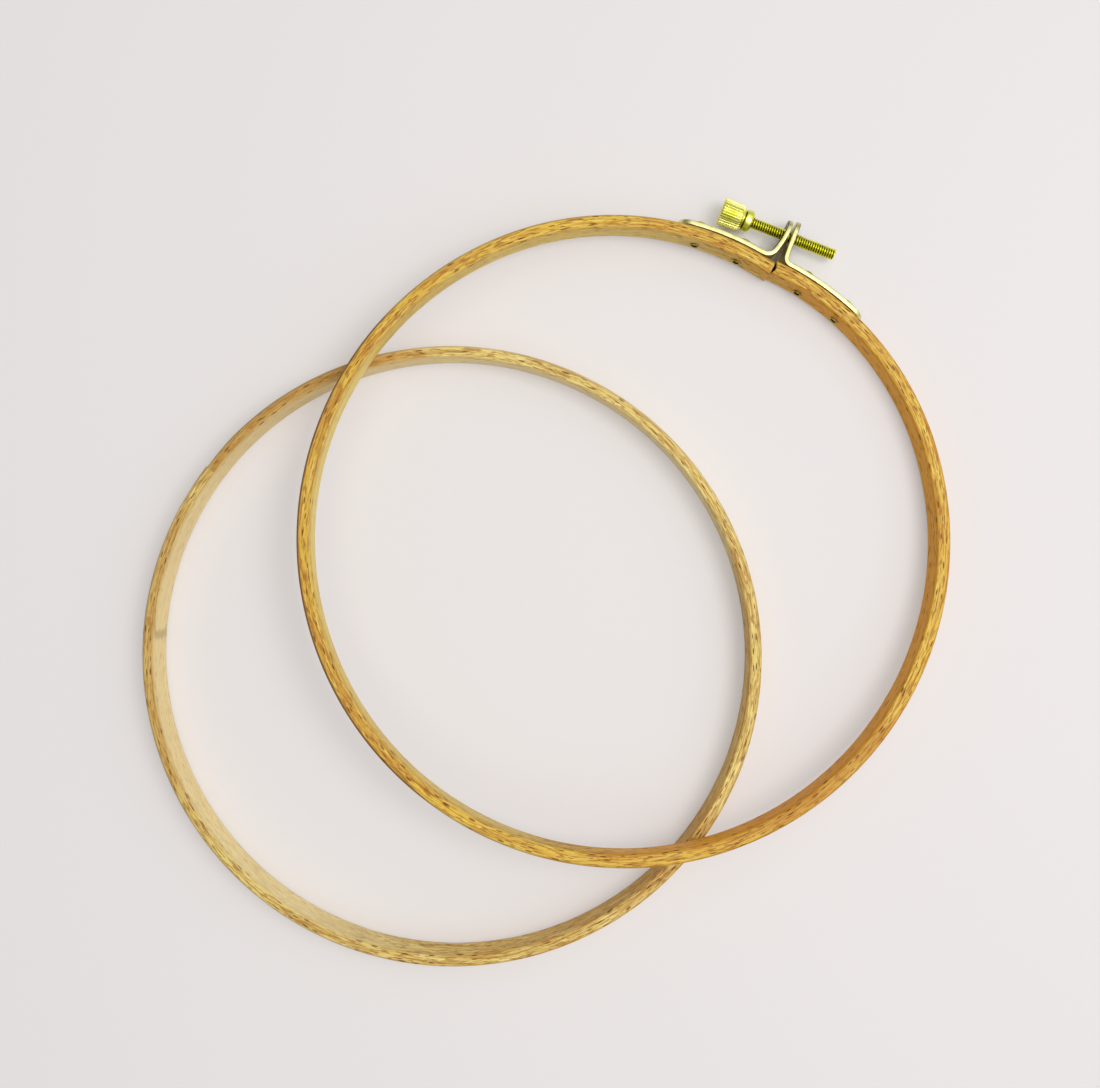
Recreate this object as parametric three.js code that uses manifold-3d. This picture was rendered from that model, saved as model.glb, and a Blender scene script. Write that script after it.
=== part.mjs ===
// A wooden embroidery hoop laid apart on a table: a closed inner ring lying flat, and over it a sawn outer
// ring, tilted, whose two ends carry bent brass plates that a knurled thumb screw draws together.
// Millimetres, +Z up, the table at z = 0 and the whole layout centred over the origin.
import * as THREE from "three";
import { mergeVertices } from "three/addons/utils/BufferGeometryUtils.js";
import Module from "manifold-3d";

const wasm = await Module();
wasm.setup();

// Driving sizes
const INNER_RADIUS_OUT = 75.8; // a 6 inch hoop is named after this ring: 151.6 mm over its outer wall
const INNER_THICK = 3.1;
const INNER_HEIGHT = 8.4;
const OUTER_RADIUS_OUT = 78.2;
const OUTER_THICK = 3.5;
const OUTER_HEIGHT = 6.4;
const EDGE_ROUND = 0.7; // rounding of the wooden edges

const RING_OFFSET = 51.6; // between the two ring centres, seen from above
const RING_OFFSET_DEG = 34.25; // the direction in which the outer ring lies off the inner one
const SEAT_GAP = 0.2; // between the outer ring and the inner ring's top where they cross

const GAP_DEG = 61.4; // where the outer ring is sawn through
const GAP_WIDTH = 0.6;

const PLATE_THICK = 1.0;
const PLATE_WIDTH = 6.0;
const PLATE_GAP = 0.2; // between a plate and the wooden wall that it lies on
const BEND_RADIUS = 1.6; // to the middle of the plate's thickness
const EAR_LENGTH = 11.1; // from the corner of the bend to the round end

const RIVET_SHANK_RADIUS = 0.85;
const RIVET_HOLE_RADIUS = 1.05;
const RIVET_HEAD_RADIUS = 1.75;
const RIVET_HEAD_HEIGHT = 0.85;
const RIVET_ROLL_RADIUS = 1.3; // the hollow end, rolled over the ring's inner wall
const RIVET_ROLL_HEIGHT = 0.4;
const RIVET_ROLL_BEVEL = 0.26;
const RIVET_BORE_RADIUS = 0.5;
const RIVET_BORE_DEPTH = 2.2;
const RIVET_GAP = 0.15; // under the head and under the rolled end

const THREAD_RADIUS = 1.5;
const ROD_CHAMFER = 0.35;
const AXIS_LEAN_DEG = 7.6; // the screw's axis is this far from square to the ring's radius at the saw cut
const AXIS_HEIGHT = 7.75; // from the ring's outer wall at the saw cut, square to the axis
const TAPPED_HOLE_RADIUS = 1.65; // in the right ear
const CLEAR_HOLE_RADIUS = 2.25; // in the left ear, which the screw only passes

// Places along the screw's axis, from the point over the saw cut
const KNOB_START = -16.75;
const KNURL_LENGTH = 5.85;
const NECK_LENGTH = 0.35;
const COLLAR_LENGTH = 1.9;
const ROD_TIP = 13.0;
const KNOB_RADIUS = 3.3;
const KNOB_BEVEL = 0.35; // at the free end
const KNOB_SHOULDER = 1.0; // the wider bevel next to the neck
const NECK_RADIUS = 2.2;
const COLLAR_RADIUS = 2.7;
const COLLAR_BEVEL = 0.3;
const FLUTES = 36;
const FLUTE_DEPTH = 0.25;
const ROD_IN_KNOB = 4.5;
const KNOB_BORE_GAP = 0.2;

const SCARF_DEG = 142; // the thin end of the inner ring's glued lap shows as a small step in its outer wall
const SCARF_STEP = 0.3;
const SCARF_TAPER_DEG = 10;
const SCARF_RISE = 0.4; // over the taper, so that it ends a little outside the wall

const CORNER_SEGMENTS = 2; // a rounded edge has twice this many facets
const RING_SEGMENTS = 112;
const ROUND_SEGMENTS = 32;
const RIVET_SEGMENTS = 20;
const WALL_STEPS = 12; // of a plate's length along the ring
const BEND_STEPS = 8;
const EAR_STEPS = 5;
const END_SEGMENTS = 16; // of a plate's half-round end
const DOME_STEPS = 4;
const TAPER_STEPS = 6;
const MERGE_TOLERANCE = 1e-4;
const CUT_MARGIN = 1; // cutters run past what they cut by this much
const SLOPE_STEP_DEG = 0.05; // the wall's slope is read between points this far to each side

const FLUTE_POINTS = 4; // two on the crest and two in the flute
const OUTLINE_POINTS = FLUTES * FLUTE_POINTS;

const rad = THREE.MathUtils.degToRad;
const UP = new THREE.Vector3(0, 0, 1);

// Each side of the clamp. "turn" is +1 where the side runs anticlockwise from the saw cut. "corner" is where the
// ear's foot meets the wall, "reach" where the plate ends and "rivets" where the rivets are, along the ring from
// the cut. The ear leans from the cut's direction by one angle at its foot and by another at its end. The sawn
// end is straighter than the ring: it lies inside its circle by "dip", which fades to nothing over a span.
const SIDES = {
  left: {
    turn: 1,
    dip: 2.6,
    dipSpan: 75,
    dipPower: 2.1,
    corner: 2.15,
    footLeanDeg: -12,
    endLeanDeg: 11.5,
    reach: 26,
    rivets: [20.7, 9],
    holeRadius: CLEAR_HOLE_RADIUS,
  },
  right: {
    turn: -1,
    dip: 2.0,
    dipSpan: 60,
    dipPower: 2,
    corner: 2.05,
    footLeanDeg: 10,
    endLeanDeg: 3.5,
    reach: 25.4,
    rivets: [8.75, 20.65],
    holeRadius: TAPPED_HOLE_RADIUS,
  },
};

// Colours, as the wood and brass look in daylight
const MATERIALS = {
  innerWood: { color: 0xe1c382, roughness: 0.6, metalness: 0 },
  outerWood: { color: 0xd6a957, roughness: 0.55, metalness: 0 },
  plateBrass: { color: 0xe6e2a4, roughness: 0.3, metalness: 1 },
  screwBrass: { color: 0xd9cc3a, roughness: 0.28, metalness: 1 },
};

const direction = (deg) => new THREE.Vector2(Math.cos(rad(deg)), Math.sin(rad(deg)));

// The angle on the ring at a distance along its outer wall from the saw cut.
const alongRing = (side, distance) =>
  GAP_DEG + side.turn * THREE.MathUtils.radToDeg(distance / OUTER_RADIUS_OUT);

// How far the ring lies inside its circle at an angle, because its sawn ends have sprung straighter.
function endDip(deg) {
  const off = ((deg - GAP_DEG + 540) % 360) - 180;
  const side = off < 0 ? SIDES.right : SIDES.left;
  const away = rad(Math.abs(off)) * OUTER_RADIUS_OUT;
  return away < side.dipSpan ? side.dip * (1 - away / side.dipSpan) ** side.dipPower : 0;
}

// A point of the outer ring's middle line, and the outward normal there, both in the ring's own plane.
const middleRadius = (deg) => OUTER_RADIUS_OUT - OUTER_THICK / 2 - endDip(deg);
const middlePoint = (deg) => direction(deg).multiplyScalar(middleRadius(deg));

function wallNormal(deg) {
  const along = middlePoint(deg + SLOPE_STEP_DEG).sub(middlePoint(deg - SLOPE_STEP_DEG)).normalize();
  return new THREE.Vector2(along.y, -along.x);
}

// A point at a distance outside the ring's outer wall.
const offWall = (deg, distance) =>
  middlePoint(deg).addScaledVector(wallNormal(deg), OUTER_THICK / 2 + distance);

class OuterRingPath extends THREE.Curve {
  getPoint(t, target = new THREE.Vector3()) {
    const halfGap = THREE.MathUtils.radToDeg(GAP_WIDTH / 2 / middleRadius(GAP_DEG));
    const p = middlePoint(GAP_DEG + halfGap + t * (360 - 2 * halfGap));
    return target.set(p.x, p.y, 0);
  }
}

// Solids: every geometry is turned into a manifold to be cut, and back.
function toSolid(geometry) {
  const bare = geometry.clone();
  bare.deleteAttribute("normal");
  bare.deleteAttribute("uv");
  const merged = mergeVertices(bare, MERGE_TOLERANCE);
  return new wasm.Manifold(
    new wasm.Mesh({
      numProp: 3,
      vertProperties: new Float32Array(merged.attributes.position.array),
      triVerts: new Uint32Array(merged.index.array),
    }),
  );
}

function toGeometry(solid) {
  const mesh = solid.getMesh();
  const geometry = new THREE.BufferGeometry();
  geometry.setAttribute("position", new THREE.Float32BufferAttribute(mesh.vertProperties, 3));
  geometry.setIndex(new THREE.Uint32BufferAttribute(mesh.triVerts, 1));
  geometry.computeVertexNormals();
  return geometry;
}

const cut = (geometry, cutters) =>
  toGeometry(cutters.reduce((solid, cutter) => solid.subtract(toSolid(cutter)), toSolid(geometry)));

const join = (a, b) => toGeometry(toSolid(a).add(toSolid(b)));

const overlap = (a, b) => toGeometry(toSolid(a).intersect(toSolid(b)));

// A wooden section lying around its own centre: width along X, height along Y.
function roundedSection(width, height, radius) {
  const x = width / 2 - radius;
  const y = height / 2 - radius;
  const shape = new THREE.Shape();
  shape.absarc(x, y, radius, 0, Math.PI / 2);
  shape.absarc(-x, y, radius, Math.PI / 2, Math.PI);
  shape.absarc(-x, -y, radius, Math.PI, Math.PI * 1.5);
  shape.absarc(x, -y, radius, Math.PI * 1.5, Math.PI * 2);
  return shape;
}

// A turned piece about +Z from a profile of [radius, height] points.
function turned(profile, segments) {
  const points = profile.map(([r, z]) => new THREE.Vector2(r, z));
  return new THREE.LatheGeometry(points, segments).rotateX(Math.PI / 2);
}

// A bar about +Z from z = 0 upwards, to cut a round hole with.
const bar = (radius, length) =>
  turned([[0, 0], [radius, 0], [radius, length], [0, length]], ROUND_SEGMENTS);

// The frame of a piece that stands along a level direction: its own +Z points that way, its +X up.
function alongFrame(origin, level) {
  const z = new THREE.Vector3(level.x, level.y, 0);
  const x = UP.clone();
  const y = new THREE.Vector3().crossVectors(z, x);
  return new THREE.Matrix4().makeBasis(x, y, z).setPosition(origin);
}

const midHeight = (p) => new THREE.Vector3(p.x, p.y, OUTER_HEIGHT / 2);

const AXIS_NORMAL_DEG = GAP_DEG + AXIS_LEAN_DEG;
const SCREW_WAY = direction(AXIS_NORMAL_DEG - 90);
const SCREW_FOOT = direction(GAP_DEG)
  .multiplyScalar(OUTER_RADIUS_OUT - (SIDES.left.dip + SIDES.right.dip) / 2)
  .addScaledVector(direction(AXIS_NORMAL_DEG), AXIS_HEIGHT);
const onScrew = (place) => midHeight(SCREW_FOOT.clone().addScaledVector(SCREW_WAY, place));
const KNOB_END = KNOB_START + KNURL_LENGTH + NECK_LENGTH + COLLAR_LENGTH;
const ROD_START = KNOB_END - ROD_IN_KNOB;

function innerRing() {
  const section = roundedSection(INNER_THICK, INNER_HEIGHT, EDGE_ROUND).getPoints(CORNER_SEGMENTS);
  const middle = INNER_RADIUS_OUT - INNER_THICK / 2;
  const profile = section.map((p) => [middle + p.x, INNER_HEIGHT / 2 + p.y]);
  profile.push(profile[0]);
  return cut(turned(profile, RING_SEGMENTS), [scarfSliver()]);
}

// What is missing from the inner ring's outer wall beside the thin end of its lap.
function scarfSliver() {
  const spokes = Array.from({ length: TAPER_STEPS + 1 }, (_, k) => k / TAPER_STEPS);
  const at = (share, radius) => direction(SCARF_DEG - share * SCARF_TAPER_DEG).multiplyScalar(radius);
  const floor = spokes.map((share) => at(share, INNER_RADIUS_OUT - SCARF_STEP + SCARF_RISE * share));
  const outside = spokes.map((share) => at(share, INNER_RADIUS_OUT + CUT_MARGIN)).reverse();
  const depth = INNER_HEIGHT + 2 * CUT_MARGIN;
  const sliver = new THREE.ExtrudeGeometry(new THREE.Shape([...floor, ...outside]), {
    depth,
    bevelEnabled: false,
  });
  return sliver.translate(0, 0, -CUT_MARGIN);
}

// The swept section's X runs down and its Y towards the ring's centre.
function outerRing() {
  const section = roundedSection(OUTER_HEIGHT, OUTER_THICK, EDGE_ROUND);
  const sweep = new THREE.ExtrudeGeometry(section, {
    steps: RING_SEGMENTS,
    curveSegments: CORNER_SEGMENTS,
    bevelEnabled: false,
    extrudePath: new OuterRingPath(),
  }).translate(0, 0, OUTER_HEIGHT / 2);
  return cut(sweep, Object.values(SIDES).flatMap(rivetHoles));
}

// A level hole through the ring and the plate on it, along the wall's normal.
function rivetHole(deg) {
  const start = -OUTER_THICK - CUT_MARGIN;
  const length = OUTER_THICK + PLATE_GAP + PLATE_THICK + 2 * CUT_MARGIN;
  const frame = alongFrame(midHeight(offWall(deg, start)), wallNormal(deg));
  return bar(RIVET_HOLE_RADIUS, length).applyMatrix4(frame);
}

const rivetHoles = (side) => side.rivets.map((distance) => rivetHole(alongRing(side, distance)));

// The plate's middle line, from its end on the ring, along the wall, round the bend and up the curved ear.
function plateLine(side) {
  const lift = PLATE_GAP + PLATE_THICK / 2;
  const cornerDeg = alongRing(side, side.corner);
  const corner = offWall(cornerDeg, lift);
  const normal = wallNormal(cornerDeg);
  const alongWall = new THREE.Vector2(normal.y, -normal.x).multiplyScalar(side.turn);
  const footWay = direction(GAP_DEG + side.footLeanDeg);
  const turnAngle = Math.acos(alongWall.dot(footWay));
  const reach = BEND_RADIUS * Math.tan(turnAngle / 2);
  const tipDeg = alongRing(side, side.reach);
  const bendDeg = alongRing(side, side.corner + reach);
  const line = [];
  for (let k = 0; k < WALL_STEPS; k++) {
    line.push(offWall(tipDeg + (k / WALL_STEPS) * (bendDeg - tipDeg), lift));
  }
  const bendStart = corner.clone().addScaledVector(alongWall, -reach);
  const inward = new THREE.Vector2(-alongWall.y, alongWall.x).multiplyScalar(side.turn);
  const centre = bendStart.clone().addScaledVector(inward, BEND_RADIUS);
  for (let k = 0; k <= BEND_STEPS; k++) {
    line.push(bendStart.clone().rotateAround(centre, (side.turn * turnAngle * k) / BEND_STEPS));
  }
  const step = (EAR_LENGTH - reach) / EAR_STEPS;
  for (let k = 0; k < EAR_STEPS; k++) {
    const share = (k + 0.5) / EAR_STEPS;
    const lean = THREE.MathUtils.lerp(side.footLeanDeg, side.endLeanDeg, share);
    line.push(line.at(-1).clone().addScaledVector(direction(GAP_DEG + lean), step));
  }
  return line;
}

// A strip of the plate's thickness either side of a line, standing the plate's width high.
function strip(line) {
  const sides = line.map((p, k) => {
    const before = line[Math.max(k - 1, 0)];
    const after = line[Math.min(k + 1, line.length - 1)];
    const way = after.clone().sub(before).normalize();
    return new THREE.Vector2(-way.y, way.x).multiplyScalar(PLATE_THICK / 2);
  });
  const oneSide = line.map((p, k) => p.clone().add(sides[k]));
  const otherSide = line.map((p, k) => p.clone().sub(sides[k])).reverse();
  const shape = new THREE.Shape([...oneSide, ...otherSide]);
  const low = (OUTER_HEIGHT - PLATE_WIDTH) / 2;
  return new THREE.ExtrudeGeometry(shape, { depth: PLATE_WIDTH, bevelEnabled: false }).translate(0, 0, low);
}

// What a plate loses when its square end is made half round. "way" points out of the end.
function endCutter(end, way) {
  const r = PLATE_WIDTH / 2;
  const far = r + CUT_MARGIN;
  const shape = new THREE.Shape();
  shape.moveTo(0, -far);
  shape.lineTo(far, -far);
  shape.lineTo(far, far);
  shape.lineTo(0, far);
  shape.lineTo(0, r);
  shape.absarc(0, 0, r, Math.PI / 2, -Math.PI / 2, true);
  const depth = PLATE_THICK + 2 * CUT_MARGIN;
  const slab = new THREE.ExtrudeGeometry(shape, { depth, bevelEnabled: false, curveSegments: END_SEGMENTS });
  const x = new THREE.Vector3(way.x, way.y, 0);
  const z = new THREE.Vector3().crossVectors(x, UP);
  const frame = new THREE.Matrix4().makeBasis(x, UP, z);
  const centre = midHeight(end.clone().addScaledVector(way, -r)).addScaledVector(z, -depth / 2);
  return slab.applyMatrix4(frame.setPosition(centre));
}

function flange(side) {
  const line = plateLine(side);
  const [tip, next] = line;
  const [beforeEnd, earEnd] = line.slice(-2);
  const earHole = bar(side.holeRadius, ROD_TIP - KNOB_END);
  return cut(strip(line), [
    endCutter(tip, tip.clone().sub(next).normalize()),
    endCutter(earEnd, earEnd.clone().sub(beforeEnd).normalize()),
    earHole.applyMatrix4(alongFrame(onScrew(KNOB_END), SCREW_WAY)),
    ...rivetHoles(side),
  ]);
}

// A brass rivet with a domed head on the plate and a hollow end rolled over the ring's inner wall.
function rivet() {
  const head = PLATE_GAP + PLATE_THICK + RIVET_GAP;
  const roll = -OUTER_THICK - RIVET_GAP;
  const profile = [
    [0, roll - RIVET_ROLL_HEIGHT + RIVET_BORE_DEPTH],
    [RIVET_BORE_RADIUS, roll - RIVET_ROLL_HEIGHT + RIVET_BORE_DEPTH],
    [RIVET_BORE_RADIUS, roll - RIVET_ROLL_HEIGHT],
    [RIVET_ROLL_RADIUS - RIVET_ROLL_BEVEL, roll - RIVET_ROLL_HEIGHT],
    [RIVET_ROLL_RADIUS, roll - RIVET_ROLL_HEIGHT / 2],
    [RIVET_ROLL_RADIUS, roll],
    [RIVET_SHANK_RADIUS, roll],
    [RIVET_SHANK_RADIUS, head],
  ];
  for (let k = 0; k <= DOME_STEPS; k++) {
    const angle = ((k / DOME_STEPS) * Math.PI) / 2;
    const r = k === DOME_STEPS ? 0 : RIVET_HEAD_RADIUS * Math.cos(angle);
    profile.push([r, head + RIVET_HEAD_HEIGHT * Math.sin(angle)]);
  }
  return turned(profile, RIVET_SEGMENTS);
}

// The grip's outline: crests on the knob's radius and flutes between them.
function knurlOutline() {
  const points = Array.from({ length: OUTLINE_POINTS }, (_, k) => {
    const isCrest = k % FLUTE_POINTS < FLUTE_POINTS / 2;
    const radius = isCrest ? KNOB_RADIUS : KNOB_RADIUS - FLUTE_DEPTH;
    return direction((k * 360) / OUTLINE_POINTS).multiplyScalar(radius);
  });
  return new THREE.Shape(points);
}

// The grip about +Z: the outline along its length, inside two cones that bevel its ends.
function grip() {
  const fluted = new THREE.ExtrudeGeometry(knurlOutline(), { depth: KNURL_LENGTH, bevelEnabled: false });
  const widest = KNOB_RADIUS + CUT_MARGIN;
  const profile = [
    [0, 0],
    [KNOB_RADIUS - KNOB_BEVEL, 0],
    [widest, KNOB_BEVEL + CUT_MARGIN],
    [widest, KNURL_LENGTH - KNOB_SHOULDER - CUT_MARGIN],
    [KNOB_RADIUS - KNOB_SHOULDER, KNURL_LENGTH],
    [0, KNURL_LENGTH],
  ];
  return overlap(fluted, turned(profile, OUTLINE_POINTS));
}

// The knob about +Z: knurled grip, neck, then the smooth collar with the bore for the rod.
function knob() {
  const neckStart = KNURL_LENGTH - KNOB_SHOULDER / 2;
  const collarStart = KNURL_LENGTH + NECK_LENGTH;
  const end = collarStart + COLLAR_LENGTH;
  const neck = turned(
    [
      [0, neckStart],
      [NECK_RADIUS, neckStart],
      [NECK_RADIUS, collarStart],
      [COLLAR_RADIUS, collarStart + COLLAR_BEVEL],
      [COLLAR_RADIUS, end - COLLAR_BEVEL],
      [COLLAR_RADIUS - COLLAR_BEVEL, end],
      [0, end],
    ],
    ROUND_SEGMENTS,
  );
  const boreDepth = ROD_IN_KNOB + KNOB_BORE_GAP;
  const bore = bar(THREAD_RADIUS + KNOB_BORE_GAP, boreDepth + CUT_MARGIN);
  return cut(join(grip(), neck), [bore.translate(0, 0, end - boreDepth)]);
}

// The rod about +Z, at the thread's full diameter.
function rod() {
  const length = ROD_TIP - ROD_START;
  return turned(
    [
      [0, 0],
      [THREAD_RADIUS - ROD_CHAMFER, 0],
      [THREAD_RADIUS, ROD_CHAMFER],
      [THREAD_RADIUS, length - ROD_CHAMFER],
      [THREAD_RADIUS - ROD_CHAMFER, length],
      [0, length],
    ],
    ROUND_SEGMENTS,
  );
}

// How the outer ring lies: its far edge on the table, its near underside on the inner ring's top where
// the flat parts of the two rims cross. Its low side points away from the inner ring.
function outerRingPose() {
  const reachInner = INNER_RADIUS_OUT - EDGE_ROUND;
  const reachOuter = OUTER_RADIUS_OUT - OUTER_THICK + EDGE_ROUND;
  const crossing = (RING_OFFSET ** 2 + reachInner ** 2 - reachOuter ** 2) / (2 * RING_OFFSET);
  const lowEdge = OUTER_RADIUS_OUT - EDGE_ROUND;
  const lean = Math.asin((INNER_HEIGHT + SEAT_GAP) / (RING_OFFSET + lowEdge - crossing));
  const lowWay = direction(RING_OFFSET_DEG);
  const axis = new THREE.Vector3(-lowWay.y, lowWay.x, 0);
  const lift = lowEdge * Math.sin(lean) + EDGE_ROUND * (1 - Math.cos(lean));
  const place = lowWay.clone().multiplyScalar(RING_OFFSET);
  return new THREE.Matrix4().makeRotationAxis(axis, lean).setPosition(place.x, place.y, lift);
}

function mesh(name, geometry, material, frame = new THREE.Matrix4()) {
  const piece = new THREE.Mesh(geometry, new THREE.MeshStandardMaterial(MATERIALS[material]));
  piece.name = name;
  piece.applyMatrix4(frame);
  return piece;
}

function clampedRing() {
  const group = new THREE.Group();
  group.add(mesh("outer_ring", outerRing(), "outerWood"));
  for (const [name, side] of Object.entries(SIDES)) {
    group.add(mesh(`${name}_flange`, flange(side), "plateBrass"));
    side.rivets.forEach((distance, k) => {
      const deg = alongRing(side, distance);
      const frame = alongFrame(midHeight(offWall(deg, 0)), wallNormal(deg));
      group.add(mesh(`${name}_rivet_${k + 1}`, rivet(), "screwBrass", frame));
    });
  }
  group.add(mesh("threaded_rod", rod(), "screwBrass", alongFrame(onScrew(ROD_START), SCREW_WAY)));
  group.add(mesh("screw_knob", knob(), "screwBrass", alongFrame(onScrew(KNOB_START), SCREW_WAY)));
  group.applyMatrix4(outerRingPose());
  return group;
}

function embroideryHoop() {
  const hoop = new THREE.Group();
  hoop.add(mesh("inner_ring", innerRing(), "innerWood"));
  hoop.add(clampedRing());
  hoop.updateMatrixWorld(true);
  const middle = new THREE.Box3().setFromObject(hoop, true).getCenter(new THREE.Vector3());
  hoop.position.set(-middle.x, -middle.y, 0);
  return hoop;
}

export default embroideryHoop();
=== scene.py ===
import logging
import math
from dataclasses import dataclass
from enum import Enum
from functools import partial

import bmesh
import bpy
import numpy as np
from mathutils import Matrix, Vector


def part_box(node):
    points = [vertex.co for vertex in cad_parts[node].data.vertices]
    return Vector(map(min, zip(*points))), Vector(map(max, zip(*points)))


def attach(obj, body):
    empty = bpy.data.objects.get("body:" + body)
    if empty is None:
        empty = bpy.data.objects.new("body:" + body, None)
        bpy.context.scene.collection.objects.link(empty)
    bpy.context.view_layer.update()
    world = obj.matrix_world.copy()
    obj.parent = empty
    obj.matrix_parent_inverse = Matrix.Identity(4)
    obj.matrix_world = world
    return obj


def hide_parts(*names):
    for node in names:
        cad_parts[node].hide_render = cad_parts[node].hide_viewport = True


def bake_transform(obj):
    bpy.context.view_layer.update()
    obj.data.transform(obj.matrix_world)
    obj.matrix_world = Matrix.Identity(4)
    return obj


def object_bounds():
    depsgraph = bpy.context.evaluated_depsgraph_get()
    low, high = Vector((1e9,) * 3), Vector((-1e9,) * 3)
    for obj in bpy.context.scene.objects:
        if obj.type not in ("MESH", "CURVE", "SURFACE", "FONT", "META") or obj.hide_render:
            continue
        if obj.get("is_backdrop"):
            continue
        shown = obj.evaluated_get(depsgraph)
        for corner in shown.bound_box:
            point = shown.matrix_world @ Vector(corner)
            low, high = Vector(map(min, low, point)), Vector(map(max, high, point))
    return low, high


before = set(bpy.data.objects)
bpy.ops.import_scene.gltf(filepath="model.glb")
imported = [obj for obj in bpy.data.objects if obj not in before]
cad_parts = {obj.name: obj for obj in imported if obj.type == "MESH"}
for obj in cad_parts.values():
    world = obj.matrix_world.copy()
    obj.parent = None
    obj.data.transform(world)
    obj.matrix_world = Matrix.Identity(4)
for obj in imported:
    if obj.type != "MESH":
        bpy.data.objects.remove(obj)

log = logging.getLogger("embroidery_hoop")

MM = 0.001
WELD = 1e-6  # metres: grid rows that close on a line or a point are merged within this
SHARP_WOOD, SHARP_BRASS, SHARP_THREAD = 50, 35, 60  # degrees: edges that turn more are shaded as edges
GRAIN, MARKS, SHADE_MARK = "grain", "marks", "root"  # the point attributes that the finishes read; the root one is painted shade on the brass
RGBA = {"data_type": "RGBA"}
SOFT = {"interpolation_type": "SMOOTHSTEP"}


class Side(Enum):
    """The two sawn ends of the outer ring. The value is +1 where the side runs anticlockwise from the cut."""

    LEFT = 1
    RIGHT = -1


# Small tools


def srgb(code: str) -> tuple[float, float, float, float]:
    """Turns an sRGB hex colour into linear RGBA.

    Args:
        code: six hex digits after a hash.

    Returns:
        Red, green, blue in linear light, and alpha 1.
    """
    value = np.array([int(code[k : k + 2], 16) for k in (1, 3, 5)]) / 255
    linear = np.where(value <= 0.04045, value / 12.92, ((value + 0.055) / 1.055) ** 2.4)
    return (*linear.tolist(), 1.0)


def inverse(sizes: tuple[float, float, float]) -> tuple[float, ...]:
    """What a vector in millimetres is multiplied by to count in features of these sizes."""
    return tuple(1 / size for size in sizes)


def compass(degrees: np.ndarray) -> np.ndarray:
    """Unit vectors in the plane at these angles, as (..., 2)."""
    angle = np.radians(degrees)
    return np.stack([np.cos(angle), np.sin(angle)], -1)


def smooth(value: np.ndarray) -> np.ndarray:
    """The smoothstep 3t^2 - 2t^3 of a value held between 0 and 1."""
    t = np.clip(value, 0, 1)
    return t * t * (3 - 2 * t)


def waviness(along: np.ndarray, around: np.ndarray, seed: int) -> np.ndarray:
    """The slow unevenness of hand-sanded wood: the mean of six cosine waves along and around a ring.

    Args:
        along: place along the ring, in millimetres.
        around: place round the section, in millimetres.
        seed: picks the waves.

    Returns:
        Values from -1 to 1, of the shape of along and around together.
    """
    rng = np.random.default_rng(seed)
    lengths = rng.uniform(14, 70, 6)
    heights = rng.uniform(4, 12, 6)
    phases = rng.uniform(0, 2 * np.pi, 6)
    turns = along[..., None] / lengths + around[..., None] / heights
    return np.cos(2 * np.pi * turns + phases).mean(-1)


def sanded_off(along: np.ndarray, columns: int, most: float, seed: int) -> np.ndarray:
    """What sanding took off a ring's two walls: the most times a half and half the waviness.

    Args:
        along: place along the ring of each row, in millimetres.
        columns: points round the section, spread here over 12 mm.
        most: the deepest loss.
        seed: picks the waves.

    Returns:
        Depths in the unit of the most, one for each row and column.
    """
    around = np.linspace(0, 12, columns)[None, :]
    return most * (0.5 + 0.5 * waviness(along, around + 0 * along, seed))


def grid_faces(rows: int, columns: int, close_rows: bool = False) -> np.ndarray:
    """Quads of a grid of points, numbered row by row, where each row's last point joins its first.

    Args:
        rows: number of rows.
        columns: points in each row.
        close_rows: whether the last row joins the first.

    Returns:
        Vertex numbers as (quads, 4).
    """
    row, column = np.meshgrid(np.arange(rows if close_rows else rows - 1), np.arange(columns), indexing="ij")
    next_row, next_column = (row + 1) % rows, (column + 1) % columns
    corners = ((row, column), (row, next_column), (next_row, next_column), (next_row, column))
    return np.stack([r * columns + c for r, c in corners], -1).reshape(-1, 4)


def split_quads(quads: np.ndarray) -> np.ndarray:
    """Two triangles for each quad, cut from its first corner to its third."""
    return np.concatenate([quads[:, [0, 1, 2]], quads[:, [0, 2, 3]]])


def volume_sign(points: np.ndarray, faces: np.ndarray) -> float:
    """The sign of a closed surface's volume, which is negative where its faces point inwards.

    Args:
        points: vertices as (n, 3).
        faces: quads or triangles.

    Returns:
        The sign of the sum, over the triangles, of one corner's dot product with the others' cross product.
    """
    triangles = points[split_quads(faces)] if faces.shape[1] == 4 else points[faces]
    a, b, c = triangles[:, 0], triangles[:, 1], triangles[:, 2]
    return float(np.sign(np.einsum("ij,ij->", a, np.cross(b, c))))


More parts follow.
